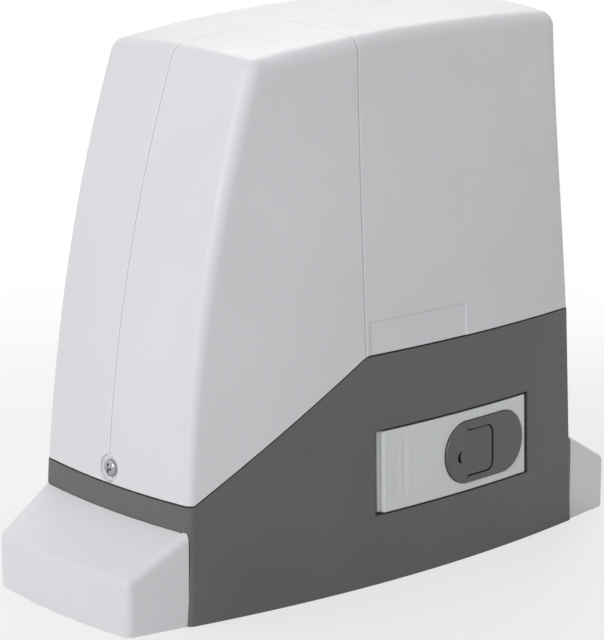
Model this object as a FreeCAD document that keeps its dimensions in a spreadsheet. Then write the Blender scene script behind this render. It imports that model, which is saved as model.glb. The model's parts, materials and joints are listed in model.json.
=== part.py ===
import FreeCAD, Part
import math
import os

import Sketcher
from FreeCAD import Placement, Rotation, Vector

# Sliding gate motor, millimetres. +Z is up, X runs along the gate, the release lever looks
# towards -Y and the pinion drives the rack on the +Y side. The origin is on the underside of
# the base, at the middle of its plan.

os.makedirs("parts", exist_ok=True)
doc = FreeCAD.newDocument("sliding_gate_motor")

SIZES = [
    # base housing
    ("base_half_length", 141.0, "corner of the base from the middle, along X"),
    ("base_half_depth", 62.3, "corner of the base from the middle, along Y"),
    ("side_bow", 12.6, "how far the front and back swell past their corners"),
    ("end_bow", 4.8, "how far the ends swell past their corners"),
    ("base_draft", 0.03, "inward lean of the base walls, mm per mm of height"),
    ("base_corner", 5.0, "radius of the upright corners of the base"),
    ("base_floor", 5.0, "thickness of the floor"),
    ("low_rim", 62.0, "height of the base rim at the battery end"),
    ("high_rim", 124.0, "height of the base rim round the gear case"),
    ("rise_start_x", -136.0, "where the rim begins to climb"),
    ("rise_end_x", -28.0, "where the rim is at its full height"),
    ("lip_height", 4.0, "upstand inside the rim that locates the cover"),
    ("lip_thickness", 2.0, "thickness of that upstand"),
    ("bulkhead_x", -31.0, "middle of the wall between battery bay and gear case"),
    ("bulkhead_thickness", 4.0, "thickness of that wall"),
    ("ledge_width", 5.0, "shelf that the gear case lid sits on"),
    ("ledge_height", 8.0, "depth of that shelf"),
    # feet
    ("flange_reach", 30.0, "how far each mounting flange stands out past the base corner"),
    ("flange_half_width", 46.0, "half width of a mounting flange"),
    ("flange_thickness", 9.0, "thickness of a mounting flange"),
    ("flange_corner", 8.0, "corner radius of a mounting flange"),
    ("slot_x", 157.0, "distance of the anchor slots from the middle, along X"),
    ("slot_y", 30.0, "distance of the anchor slots from the middle, along Y"),
    ("slot_width", 11.0, "width of an anchor slot, for an M10 stud"),
    ("slot_length", 25.0, "end to end length of an anchor slot"),
    ("foot_reach", 33.4, "how far a foot cover stands out past the base corner"),
    ("foot_outer_half", 55.0, "half width of a foot cover at its outer end"),
    ("foot_outer_bow", 4.2, "swell of its outer face"),
    ("foot_inner_top", 48.0, "its height at the base wall"),
    ("foot_outer_top", 29.0, "its height at the outer face"),
    ("foot_wall", 2.5, "its wall"),
    ("foot_round", 5.0, "radius of its edges"),
    ("foot_gap", 0.3, "gap between a foot cover and what it touches"),
    # cover
    ("cover_gap", 1.0, "shadow line between the base rim and the cover"),
    ("cover_wall", 2.8, "wall of the cover"),
    ("cover_fit", 0.4, "clearance between the cover and the upstand"),
    ("waist_height", 124.0, "height of the lower section of the cover"),
    ("shoulder_height", 205.0, "height of the middle section of the cover"),
    ("crown_height", 298.0, "highest point of the cover"),
    ("left_lean_waist", 7.4, "how far the battery end leans in at the waist"),
    ("left_lean_shoulder", 22.0, "and at the shoulder"),
    ("left_lean_top", 51.3, "and at the crown"),
    ("right_lean_waist", 3.7, "how far the motor end leans in at the waist"),
    ("right_lean_shoulder", 11.3, "and at the shoulder"),
    ("right_lean_top", 18.2, "and at the crown"),
    ("side_lean_waist", 3.7, "how far the corners lean in from the front and back at the waist"),
    ("side_lean_shoulder", 3.9, "and at the shoulder"),
    ("side_lean_top", 4.3, "and at the crown"),
    ("side_bow_waist", 12.6, "swell of the front and back at the waist"),
    ("side_bow_shoulder", 7.8, "and at the shoulder"),
    ("side_bow_top", 4.2, "and at the crown"),
    ("end_bow_waist", 4.8, "swell of the ends at the waist"),
    ("end_bow_shoulder", 4.2, "and at the shoulder"),
    ("end_bow_top", 3.6, "and at the crown"),
    ("crown_x", 50.0, "where the top of the cover is highest"),
    ("crown_radius_long", 1000.0, "radius of the top along the cover"),
    ("crown_radius_cross", 460.0, "radius of the top across the cover"),
    ("cover_corner_low", 5.0, "radius of the upright corners at the foot of the cover"),
    ("cover_corner_high", 10.0, "the same at the crown"),
    ("top_round", 9.0, "radius of the edge round the top"),
    ("screw_recess_radius", 7.5, "dish round each cover screw"),
    ("screw_recess_depth", 2.0, "depth of that dish"),
    ("dish_wall", 2.0, "wall round that dish"),
    ("screw_above_rim", 8.6, "height of each cover screw above the rim"),
    ("screw_radius", 2.5, "cover screw shank"),
    ("screw_head_radius", 4.6, "cover screw head"),
    ("screw_head_height", 3.0, "cover screw head"),
    ("tab_width", 22.0, "upright tab of the base behind each cover screw"),
    ("tab_thickness", 3.0, "its thickness"),
    ("tab_height", 16.0, "its height above the rim"),
    ("plate_left", -26.0, "bare plate recess on the front of the cover"),
    ("plate_right", 46.0, "its right end"),
    ("plate_top", 143.0, "its upper edge"),
    ("plate_depth", 0.6, "its depth"),
    # release lever and lock
    ("lever_left", -20.0, "left end of the lever plate"),
    ("lever_right", 97.0, "right end of the lever plate"),
    ("lever_bottom", 38.2, "lower edge of the lever plate"),
    ("lever_top", 83.0, "upper edge of the lever plate"),
    ("lever_skin", 4.0, "front wall of the lever"),
    ("lever_rim", 2.5, "side walls of the lever"),
    ("lever_depth", 11.0, "depth of the side walls"),
    ("lever_end_round", 3.5, "rounding of the hinged end"),
    ("lever_gap", 0.9, "gap round the lever"),
    ("lever_hinge_gap", 3.0, "gap at its hinged end, where it swings"),
    ("lever_hinge_inset", 10.0, "hinge pin from the left end of the lever"),
    ("lever_hinge_y", -64.2, "hinge pin, along Y"),
    ("recess_back", -53.0, "back wall of the lever recess, along Y"),
    ("recess_wall", 5.0, "walls of the lever recess"),
    ("pin_radius", 3.0, "lever hinge pin"),
    ("pin_fit", 0.05, "running clearance on the hinge pin"),
    ("knuckle_radius", 5.6, "hinge knuckles of the lever"),
    ("knuckle_height", 13.0, "height of each knuckle"),
    ("cam_low", 4.6, "release cam radius with the lever shut"),
    ("cam_gap", 0.6, "release rod from the cam"),
    ("release_stroke", 4.4, "how far the cam pushes the release rod"),
    ("cam_height", 12.0, "thickness of the release cam"),
    ("flute_x", -1.0, "middle of the three flutes in the lever plate"),
    ("flute_pitch", 5.0, "spacing of the flutes"),
    ("flute_depth", 0.5, "their depth"),
    ("flute_radius", 3.0, "radius of a flute"),
    ("lock_x", 57.0, "axis of the lock, along X"),
    ("lock_z", 60.0, "axis of the lock, height"),
    ("oval_centre_x", 60.5, "middle of the oval lock plate"),
    ("oval_length", 65.0, "length of the oval lock plate"),
    ("oval_height", 35.0, "height of the oval lock plate"),
    ("oval_thickness", 1.9, "thickness of the oval lock plate"),
    ("oval_gap", 0.15, "clearance round the oval lock plate"),
    ("shutter_left", 28.4, "left end of the sliding key shutter"),
    ("shutter_tongue_left", 50.3, "left edge of its flat tongue"),
    ("shutter_tongue_right", 67.0, "right edge of its flat tongue"),
    ("shutter_tongue_half", 13.0, "half height of its tongue"),
    ("shutter_rise", 4.0, "how far it stands proud at its left end"),
    ("shutter_slope_end", 52.0, "where its slope runs out"),
    ("shutter_travel", 16.0, "how far it slides"),
    ("shutter_gap", 0.5, "gap round the tongue"),
    ("shutter_foot", 1.4, "thickness of its two hooked feet"),
    ("barrel_radius", 8.0, "lock barrel"),
    ("barrel_front", -68.9, "front of the lock barrel, along Y"),
    ("nut_front", -65.6, "front of the lock nut, along Y"),
    ("plug_radius", 6.0, "turning plug of the lock"),
    ("plug_fit", 0.08, "running clearance round the plug"),
    ("cam_reach", 26.0, "reach of the lock tongue"),
    ("cam_width", 9.0, "width of the lock tongue"),
    ("cam_thickness", 2.0, "thickness of the lock tongue"),
    # gear train
    ("wheel_x", 34.0, "axis of the output shaft, along X"),
    ("shaft_z", 62.0, "axis of the output shaft, height"),
    ("worm_module", 2.5, "module of worm and wheel"),
    ("wheel_teeth", 30.0, "teeth of the worm wheel"),
    ("worm_pitch_radius", 12.0, "pitch radius of the worm"),
    ("wheel_front", -24.0, "front face of the worm wheel, along Y"),
    ("wheel_width", 20.0, "width of the worm wheel"),
    ("wheel_hub_radius", 22.0, "hub of the worm wheel"),
    ("wheel_web", 8.0, "thickness of its web"),
    ("worm_length", 64.0, "threaded length of the worm"),
    ("tooth_backlash", 0.9, "thinning of the worm thread"),
    ("output_radius", 12.5, "output shaft"),
    ("output_front_radius", 10.0, "its front journal"),
    ("shaft_fit", 0.05, "running clearance of wheel and dog on the shaft"),
    ("claw_count", 3.0, "claws of the release clutch"),
    ("claw_height", 3.6, "height of the claws"),
    ("claw_inner", 16.5, "inner radius of the claws"),
    ("claw_outer", 21.0, "outer radius of the claws and of the dog"),
    ("dog_length", 16.0, "length of the clutch dog without its claws"),
    ("groove_radius", 15.0, "fork groove in the clutch dog"),
    ("groove_width", 6.0, "its width"),
    ("fork_thickness", 5.0, "release fork"),
    ("rod_radius", 3.0, "release rod"),
    ("rod_z", 60.0, "height of the release rod"),
    ("pinion_teeth", 17.0, "teeth of the output pinion"),
    ("pinion_module", 4.0, "module of the output pinion"),
    ("pinion_width", 25.0, "width of the output pinion"),
    ("pinion_gap", 4.0, "pinion from the bearing boss"),
    ("front_bearing_radius", 21.0, "front bearing of the output shaft, outside"),
    ("front_bearing_width", 12.0, "its width"),
    ("rear_bearing_radius", 26.0, "rear bearing of the output shaft, outside"),
    ("rear_bearing_width", 15.0, "its width"),
    ("rear_bearing_y", 54.0, "its front face, along Y"),
    ("boss_back", 78.0, "end of the boss round the output shaft, along Y"),
    ("seal_radius", 21.0, "shaft seal, outside"),
    ("worm_bearing_radius", 15.0, "bearings of the worm, outside"),
    ("worm_bearing_width", 9.0, "their width"),
    ("worm_low_z", 8.0, "lower worm bearing, height"),
    ("lid_boss_radius", 5.5, "bosses for the lid screws"),
    ("lid_screw_radius", 2.5, "lid screws"),
    ("grommet_radius", 12.5, "hole for the cable grommet"),
    ("pin_low", 33.5, "lower end of the lever hinge pin"),
    ("pin_high", 88.0, "upper end of the lever hinge pin"),
    ("lock_cam_y", -57.4, "front face of the lock tongue, along Y"),
    ("clutch_key_width", 8.0, "feather key of the clutch dog"),
    ("clutch_key_height", 7.0, "feather key of the clutch dog"),
    ("pinion_key_width", 8.0, "feather key of the pinion"),
    ("pinion_key_height", 7.0, "feather key of the pinion"),
    ("clip_width", 1.5, "clip that holds the worm wheel"),
    ("pinion_bolt_radius", 4.0, "bolt that holds the pinion"),
    ("rotor_top", 244.0, "upper end of the motor shaft, height"),
    # motor
    ("lid_thickness", 6.0, "lid of the gear case"),
    ("gasket_thickness", 1.0, "gasket under the lid"),
    ("motor_flange_radius", 38.0, "motor flange"),
    ("motor_flange_thickness", 6.0, "motor flange"),
    ("can_radius", 34.0, "motor can"),
    ("can_length", 92.0, "motor can"),
    ("can_wall", 2.5, "motor can"),
    ("motor_cap_height", 14.0, "end cap of the motor"),
    ("rotor_shaft_radius", 5.0, "motor shaft"),
    ("armature_radius", 23.0, "armature"),
    ("armature_length", 54.0, "armature"),
    ("magnet_thickness", 6.5, "field magnets"),
    ("worm_high_z", 110.0, "upper worm bearing, height"),
    ("oil_plug_x", 0.0, "oil filler plug, along X"),
    ("oil_plug_y", 44.0, "oil filler plug, along Y"),
    ("oil_plug_radius", 6.0, "oil filler plug"),
    ("charger_gap", 3.0, "charger from the controller tray"),
    ("charger_front", 24.0, "charger, front face"),
    ("sensor_low", 105.0, "position sensor at the rear, underside"),
    ("sensor_back", 90.0, "its rear face"),
    # electrics
    ("battery_length", 151.0, "battery, standing on end"),
    ("battery_width", 65.0, "battery, along X"),
    ("battery_depth", 94.0, "battery, along Y"),
    ("rest_gap", 0.3, "clearance between pieces that rest on each other"),
    ("tray_thickness", 3.0, "controller tray"),
    ("board_length", 118.0, "control board"),
    ("board_width", 78.0, "control board"),
    ("board_thickness", 1.6, "control board"),
    ("board_standoff", 5.0, "control board above its tray"),
    ("charger_length", 78.0, "charger"),
    ("charger_depth", 24.0, "charger"),
    ("charger_height", 84.0, "charger"),
    ("entry_radius", 9.0, "bore of the cable entry grommet"),
    ("entry_x", -117.0, "cable entry, along X"),
    ("board_to_charger", 14.0, "from the board's end to the charger"),
    ("root_modules", 1.25, "tooth depth below the pitch circle, in modules"),
    ("pressure_angle", 20.0, "slope of the tooth flanks, degrees"),
    ("claw_share", 0.42, "part of the circle that the clutch claws fill"),
    ("wheel_holes", 6, "lightening holes of the worm wheel"),
    ("wheel_rim", 5.0, "rim of the worm wheel below its teeth"),
    ("winding_slots", 12, "slots of the armature"),
    ("winding_slot_radius", 3.0, "slots of the armature"),
    ("winding_slot_inset", 3.5, "slot axis below the armature's face"),
    ("front_bearing_wall", 5.0, "wall round the front bearing"),
    ("rear_bearing_wall", 6.0, "wall round the rear bearing"),
    ("worm_bearing_wall", 4.0, "wall round each worm bearing"),
    ("rod_guide_wall", 4.0, "wall round the release rod"),
    ("rod_guide_front", 50.0, "front end of the rod guide behind the middle plane"),
    ("rod_guide_back", 70.0, "rear end of the rod guide"),
    ("rod_bore_end", 66.0, "blind end of the rod's bore"),
    ("rod_fit", 0.08, "play of the release rod in its guide"),
    ("tab_depth", 12.0, "screw tab below the rim"),
    ("lid_screw_left", 6.0, "first lid screws from the bulkhead"),
    ("lid_screw_right", 18.0, "last lid screws from the end wall"),
    ("lid_screw_depth", 12.0, "threaded depth of the lid screws"),
    ("keeper_length", 17.0, "pocket in the recess wall that the lock cam turns into"),
    ("tongue_drop", 0.7, "shutter tongue thinner than the oval"),
    ("tongue_corner", 4.0, "corner radius of the shutter tongue"),
    ("shutter_lift", 0.3, "shutter head above the lever"),
    ("foot_length", 11.0, "shutter feet along the slide"),
    ("foot_inset", 5.0, "shutter feet from the tongue's end"),
    ("hook_thickness", 1.5, "hooks of the shutter feet"),
    ("hook_reach", 2.0, "hooks of the shutter feet"),
    ("slot_play", 0.4, "slots round the shutter feet"),
    ("notch_radius", 3.2, "finger notch of the shutter"),
    ("notch_inner_radius", 3.0, "inner arc of that notch"),
    ("notch_x", 13.5, "notch from the shutter's left end"),
    ("notch_inner_x", 15.3, "centre of the inner arc"),
    ("notch_floor", 0.8, "floor of the notch above the front"),
    ("fork_rim", 4.0, "fork beyond the claws"),
    ("fork_eye_wall", 4.5, "fork round the release rod"),
    ("fork_arm_half", 7.0, "half the height of the fork's arm"),
    ("fork_arm_end", 12.0, "end of the arm from the output shaft"),
    ("shaft_collar", 4.0, "collar of the output shaft beyond its radius"),
    ("shaft_collar_width", 5.0, "collar of the output shaft"),
    ("bolt_depth", 20.0, "threaded hole in the output shaft's end"),
    ("sensor_half_length", 26.0, "position sensor from its middle"),
    ("sensor_height", 16.0, "position sensor"),
    ("sensor_round", 2.5, "rounded rear edges of the position sensor"),
]

# Lengths for tools that cut: past runs clear of the wall being cut, far of the whole machine.
past = 20.0
far = 200.0

# Places that follow from the sizes; the formulas live in a second sheet.
PLACES = [
    ("base_wall", "Sizes.cover_wall + Sizes.cover_fit + Sizes.lip_thickness"),
    ("worm_x", "Sizes.wheel_x + Sizes.worm_module * Sizes.wheel_teeth / 2 + Sizes.worm_pitch_radius"),
    ("worm_y", "Sizes.wheel_front + Sizes.wheel_width / 2"),
    ("wheel_back", "Sizes.wheel_front + Sizes.wheel_width"),
    ("lid_bottom", "Sizes.high_rim - Sizes.lid_thickness"),
    ("gasket_bottom", "Sizes.high_rim - Sizes.lid_thickness - Sizes.gasket_thickness"),
    ("hinge_x", "Sizes.lever_left + Sizes.lever_hinge_inset"),
    ("lever_mid_z", "(Sizes.lever_bottom + Sizes.lever_top) / 2"),
    ("barrel_length", "Sizes.lock_cam_y - Sizes.barrel_front - 0.1"),
    ("rod_front", "Sizes.lever_hinge_y + Sizes.cam_low + Sizes.cam_gap"),
    ("block_back", "Sizes.recess_back + Sizes.recess_wall"),
    ("front_bearing_y", "Sizes.recess_back + Sizes.recess_wall + 3"),
    ("clip_y", "Places.wheel_back + Sizes.rest_gap"),
    ("dog_front", "Places.wheel_back + Sizes.claw_height + 1"),
    ("magnet_bottom", "Sizes.high_rim + Sizes.motor_flange_thickness + 8"),
    ("can_bottom", "Sizes.high_rim + Sizes.motor_flange_thickness"),
    ("can_top", "Places.can_bottom + Sizes.can_length"),
    ("battery_bottom", "Sizes.base_floor + Sizes.rest_gap"),
    ("battery_right", "Sizes.bulkhead_x - Sizes.bulkhead_thickness / 2 - 1"),
    ("tray_bottom", "Places.battery_bottom + Sizes.battery_length + Sizes.rest_gap"),
    ("board_bottom", "Places.tray_bottom + Sizes.tray_thickness + Sizes.board_standoff"),
    ("charger_left", "Places.battery_right - Sizes.battery_width + Sizes.board_length"
                     " + Sizes.board_to_charger + Sizes.charger_gap"),
    ("board_left", "Places.battery_right - Sizes.battery_width + 8"),
]

sizes = doc.addObject("Spreadsheet::Sheet", "Sizes")
for row, (alias, value, note) in enumerate(SIZES, start=1):
    sizes.set("A%d" % row, note)
    sizes.set("B%d" % row, repr(value))
    sizes.setAlias("B%d" % row, alias)
doc.recompute()
places = doc.addObject("Spreadsheet::Sheet", "Places")
for row, (alias, formula) in enumerate(PLACES, start=1):
    places.set("B%d" % row, "=" + formula.replace("Places.", ""))
    places.setAlias("B%d" % row, alias)
    doc.recompute()

SIZE_NAMES = {entry[0] for entry in SIZES}
PLACE_NAMES = {entry[0] for entry in PLACES}
TURNS = {
    "z": Rotation(),
    "-z": Rotation(Vector(1, 0, 0), 180),
    "y": Rotation(Vector(1, 0, 0), -90),
    "-y": Rotation(Vector(1, 0, 0), 90),
    "x": Rotation(Vector(0, 1, 0), 90),
    "-x": Rotation(Vector(0, 1, 0), -90),
}
nodes = []


# ---------------------------------------------------------------- helpers

def ref(text):
    """Point the plain names in a formula at the two sheets."""
    words = []
    word = ""
    for letter in str(text) + " ":
        if letter.isalnum() or letter == "_":
            word += letter
            continue
        if word in SIZE_NAMES:
            word = "Sizes." + word
        elif word in PLACE_NAMES:
            word = "Places." + word
        words.append(word + letter)
        word = ""
    return "".join(words).strip()


def v(text):
    """Value of a formula in millimetres."""
    found = sizes.evalExpression(ref(text))
    return float(getattr(found, "Value", found))


def node(thing, label):
    """Give a finished sub-part its name and keep it for export."""
    thing.Label = label
    nodes.append(thing)
    return thing


def shape_node(label, shape):
    return node(solid_object(label, shape), label)


def solid_object(name, shape):
    thing = doc.addObject("Part::Feature", name)
    thing.Shape = shape
    return thing


def bind_place(thing, at, along):
    thing.Placement = Placement(Vector(), TURNS[along])
    for axis, text in zip("xyz", at):
        thing.setExpression("Placement.Base." + axis, ref(text))


def cylinder(name, radius, length, at, along="z"):
    thing = doc.addObject("Part::Cylinder", name)
    thing.setExpression("Radius", ref(radius))
    thing.setExpression("Height", ref(length))
    bind_place(thing, at, along)
    return thing


def block(name, size, at):
    thing = doc.addObject("Part::Box", name)
    for prop, text in zip(("Length", "Width", "Height"), size):
        thing.setExpression(prop, ref(text))
    bind_place(thing, at, "z")
    return thing


def fuse(name, *things):
    joined = doc.addObject("Part::MultiFuse", name)
    joined.Shapes = list(things)
    joined.Refine = True
    return joined


def cut(name, base, *tools):
    tool = tools[0] if len(tools) == 1 else fuse(name + "_tools", *tools)
    made = doc.addObject("Part::Cut", name)
    made.Base = base
    made.Tool = tool
    made.Refine = True
    return made


def group(name, *things):
    made = doc.addObject("Part::Compound", name)
    made.Links = list(things)
    return made


def ring(name, outer, inner, length, at, along="z"):
    """A plain tube, such as a washer or a bush."""
    wall = cylinder(name + "_outside", outer, length, at, along)
    bore = cylinder(name + "_bore", inner, length, at, along)
    return cut(name, wall, bore)


def plane_of(body, role):
    return [f for f in body.Origin.OriginFeatures if f.Role == role][0]


def sketch_on(body, name, role, offset="0"):
    sketch = body.newObject("Sketcher::SketchObject", name)
    sketch.AttachmentSupport = (plane_of(body, role), [""])
    sketch.MapMode = "FlatFace"
    sketch.setExpression("AttachmentOffset.Base.z", ref(offset))
    return sketch


def pin_point(sketch, edge, end, at):
    """Tie one end of an edge to two formulas measured from the sketch origin."""
    for kind, axis, text in (("DistanceX", -2, at[0]), ("DistanceY", -1, at[1])):
        if str(text) == "0":
            sketch.addConstraint(Sketcher.Constraint("PointOnObject", edge, end, axis))
            continue
        index = sketch.addConstraint(Sketcher.Constraint(kind, -1, 1, edge, end, v(text)))
        sketch.setExpression("Constraints[%d]" % index, ref(text))


def add_outline(sketch, points):
    """A closed outline of straight edges whose corners follow formulas."""
    corners = [Vector(v(x), v(y), 0) for x, y in points]
    first = sketch.GeometryCount
    count = len(corners)
    for i in range(count):
        sketch.addGeometry(Part.LineSegment(corners[i], corners[(i + 1) % count]), False)
    for i in range(count):
        following = first + (i + 1) % count
        sketch.addConstraint(Sketcher.Constraint("Coincident", first + i, 2, following, 1))
    for i, at in enumerate(points):
        pin_point(sketch, first + i, 1, at)


def add_circle(sketch, x, y, radius):
    index = sketch.addGeometry(Part.Circle(Vector(v(x), v(y), 0), Vector(0, 0, 1), v(radius)), False)
    pin_point(sketch, index, 3, (x, y))
    limit = sketch.addConstraint(Sketcher.Constraint("Radius", index, v(radius)))
    sketch.setExpression("Constraints[%d]" % limit, ref(radius))


def turned_body(name, outline, at=("0", "0", "0"), along="z"):
    """A turned piece: outline in (radius, height), spun about its own axis."""
    body = doc.addObject("PartDesign::Body", name)
    bind_place(body, at, along)
    sketch = sketch_on(body, name + "_outline", "XZ_Plane")
    add_outline(sketch, outline)
    spin = body.newObject("PartDesign::Revolution", name + "_turn")
    spin.Profile = sketch
    spin.ReferenceAxis = (sketch, ["V_Axis"])
    spin.Angle = 360
    return body


def plate_body(name, role, outline, holes, start, thickness):
    """A flat piece: outline on an origin plane, from start, thickness along the axis."""
    body = doc.addObject("PartDesign::Body", name)
    offset = "-(%s) - (%s)" % (start, thickness) if role == "XZ_Plane" else start
    sketch = sketch_on(body, name + "_outline", role, offset)
    add_outline(sketch, outline)
    for x, y, radius in holes:
        add_circle(sketch, x, y, radius)
    pad = body.newObject("PartDesign::Pad", name + "_pad")
    pad.Profile = sketch
    pad.setExpression("Length", ref(thickness))
    return body


def round_edges(body, name, radius, wanted):
    """Round those edges of a body that wanted(edge) picks."""
    doc.recompute()
    tip = body.Tip
    picked = ["Edge%d" % (i + 1) for i, edge in enumerate(tip.Shape.Edges) if wanted(edge)]
    fillet = body.newObject("PartDesign::Fillet", name)
    fillet.Base = (tip, picked)
    fillet.setExpression("Radius", ref(radius))
    return fillet


def along_axis(axis):
    """Picks straight edges that run along one axis."""
    def wanted(edge):
        run = edge.Vertexes[-1].Point - edge.Vertexes[0].Point
        return run.Length > 0.5 and abs(abs(run.normalize().dot(axis)) - 1) < 1e-6
    return wanted


def rectangle(left, right, low, high):
    return [(left, low), (right, low), (right, high), (left, high)]


def box_shape(x0, x1, y0, y1, z0, z1):
    return Part.makeBox(x1 - x0, y1 - y0, z1 - z0, Vector(x0, y0, z0))


def rod_shape(radius, start, end):
    run = end - start
    return Part.makeCylinder(radius, run.Length, start, run)


# ---------------------------------------------------------------- outer forms

def plan_wire(left, right, half, side_bow, end_bow, height):
    """Plan section with four swelling sides."""
    a = Vector(left, -half, height)
    b = Vector(right, -half, height)
    c = Vector(right, half, height)
    d = Vector(left, half, height)
    middle = (left + right) / 2
    arcs = [
        Part.Arc(a, Vector(middle, -half - side_bow, height), b),
        Part.Arc(b, Vector(right + end_bow, 0, height), c),
        Part.Arc(c, Vector(middle, half + side_bow, height), d),
        Part.Arc(d, Vector(left - end_bow, 0, height), a),
    ]
    return Part.Wire([arc.toShape() for arc in arcs])


def upright_edges(shape):
    """The four edges that climb from the bottom to the top of a lofted form."""
    found = []
    for edge in shape.Edges:
        box = edge.BoundBox
        if box.ZLength > 0.9 * shape.BoundBox.ZLength:
            found.append(edge)
    return found


def base_form(inset, bottom, top):
    """Outer form of the base, drawn in by inset."""
    wires = []
    for height in (bottom, top):
        shrink = inset + v("base_draft") * height
        left = -v("base_half_length") + shrink
        half = v("base_half_depth") - shrink
        wires.append(plan_wire(left, -left, half, v("side_bow"), v("end_bow"), height))
    form = Part.makeLoft(wires, True, True)
    radius = max(v("base_corner") - inset, 1.0)
    return form.makeFillet(radius, upright_edges(form))


def cover_form(inset, rounded=True):
    """Outer form of the cover, drawn in by inset, with its domed top."""
    foot_height = v("low_rim") - 12
    foot_lean = v("base_draft") * foot_height
    wires = [plan_wire(
        foot_lean + inset - v("base_half_length"),
        v("base_half_length") - foot_lean - inset,
        v("base_half_depth") - foot_lean - inset,
        v("side_bow"), v("end_bow"), foot_height)]
    stations = [("waist", v("waist_height")), ("shoulder", v("shoulder_height")),
                ("top", v("crown_height") + 4)]
    for name, height in stations:
        left = v("left_lean_" + name) + inset - v("base_half_length")
        right = v("base_half_length") - v("right_lean_" + name) - inset
        half = v("base_half_depth") - v("side_lean_" + name) - inset
        wires.append(plan_wire(left, right, half, v("side_bow_" + name), v("end_bow_" + name), height))
    form = Part.makeLoft(wires, True, False)
    low = max(v("cover_corner_low") - inset, 1.0)
    high = max(v("cover_corner_high") - inset, 1.5)
    form = form.makeFillet(low, high, upright_edges(form))
    form = form.common(crown_barrel(inset))
    if not rounded:
        return form
    rim = [e for e in form.Edges if e.BoundBox.ZMin > v("shoulder_height") + 30]
    return form.makeFillet(max(v("top_round") - inset, 1.0), rim)


def crown_barrel(inset):
    """Barrel whose upper side is the domed top of the cover."""
    long_radius = v("crown_radius_long") - inset
    cross_radius = v("crown_radius_cross") - inset
    top = v("crown_height") - inset
    reach = 120.0
    drop = cross_radius - math.sqrt(cross_radius ** 2 - reach ** 2)
    x = v("crown_x")
    ends = [Vector(x, -reach, top - drop), Vector(x, reach, top - drop)]
    dome = Part.Arc(ends[0], Vector(x, 0, top), ends[1]).toShape()
    feet = [Vector(x, reach, 0), Vector(x, -reach, 0)]
    sides = [Part.makeLine(ends[1], feet[0]), Part.makeLine(feet[0], feet[1]),
             Part.makeLine(feet[1], ends[0])]
    profile = Part.Face(Part.Wire([dome] + sides))
    centre = Vector(x, 0, v("crown_height") - v("crown_radius_long"))
    half_angle = 20.0
    profile.rotate(centre, Vector(0, 1, 0), -half_angle)
    return profile.revolve(centre, Vector(0, 1, 0), 2 * half_angle)


outer_cover = cover_form(0)


def above_rim(lift):
    """Everything above the rim line of the base, raised by lift."""
    far = 400.0
    low = v("low_rim") + lift
    high = v("high_rim") + lift
    points = [(-far, low), (v("rise_start_x"), low), (v("rise_end_x"), high), (far, high), (far, far),
              (-far, far)]
    outline = [Vector(x, -far, z) for x, z in points]
    face = Part.Face(Part.makePolygon(outline + outline[:1]))
    return face.extrude(Vector(0, 2 * far, 0))


def front_y(x, height):
    """Front surface of the base at a place along X."""
    half = v("base_half_length") - v("base_draft") * height
    bow = v("side_bow")
    radius = (half ** 2 + bow ** 2) / (2 * bow)
    swell = math.sqrt(radius ** 2 - x ** 2) - (radius - bow)
    return -(v("base_half_depth") - v("base_draft") * height + swell)


# ---------------------------------------------------------------- base housing

def lever_recess(gap):
    """Space in the front of the base that the lever lies in."""
    extra = gap - v("lever_gap")
    left = v("lever_left") - v("lever_hinge_gap") - extra
    right = v("lever_right") + v("lever_gap") + extra
    low = v("lever_bottom") - gap
    high = v("lever_top") + gap
    return box_shape(left, right, -v("base_half_depth") - 60, v("recess_back") + extra, low, high)


def anchor_slot(x, y):
    """Slot for an anchor stud, long across the gate's travel."""
    radius = v("slot_width") / 2
    half = v("slot_length") / 2 - radius
    top = v("flange_thickness")
    slot = box_shape(x - radius, x + radius, y - half, y + half, 0, top)
    for end in (-half, half):
        slot = slot.fuse(rod_shape(radius, Vector(x, y + end, 0), Vector(x, y + end, top)))
    return slot


def mounting_flange(side):
    """Foot of the base at one end, with its two slots."""
    inner = v("base_half_length") - 12
    outer = v("base_half_length") + v("flange_reach")
    half = v("flange_half_width")
    x0, x1 = sorted((side * inner, side * outer))
    flange = box_shape(x0, x1, -half, half, 0, v("flange_thickness"))
    upright = along_axis(Vector(0, 0, 1))
    tip = [e for e in flange.Edges if upright(e) and abs(e.BoundBox.XMin - side * outer) < 0.01]
    flange = flange.makeFillet(v("flange_corner"), tip)
    for y in (-v("slot_y"), v("slot_y")):
        flange = flange.cut(anchor_slot(side * v("slot_x"), y))
    return flange


def rim_height(side):
    return v("low_rim") if side < 0 else v("high_rim")


def end_wall_x(side, height):
    """Outer face of the base's end wall on the middle line."""
    return side * (v("base_half_length") + v("end_bow") - v("base_draft") * height)


def cover_end_x(side, height):
    """Outer face of the cover's end wall on the middle line, from the middle."""
    ray = Part.makeLine(Vector(0, 0, height), Vector(side * 200, 0, height))
    return outer_cover.common(ray).BoundBox.XLength


def screw_axis_x(side):
    """Bottom of the screw dish in the cover's end wall, from the middle."""
    return cover_end_x(side, rim_height(side) + v("screw_above_rim")) - v("screw_recess_depth")


def tab_face(side):
    """Outer face of the upright tab behind a cover screw, from the middle."""
    return screw_axis_x(side) - v("cover_wall") - v("cover_fit")


def tab_root(side, grow):
    """Foot of the upright tab, joined to the end wall."""
    rim = rim_height(side)
    wall_x = abs(end_wall_x(side, rim)) - v("base_wall") + 1
    x0, x1 = sorted((side * (tab_face(side) - v("tab_thickness") - grow), side * (wall_x + grow)))
    half = v("tab_width") / 2 + grow
    return box_shape(x0, x1, -half, half, rim - v("tab_depth"), rim + grow)


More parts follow.
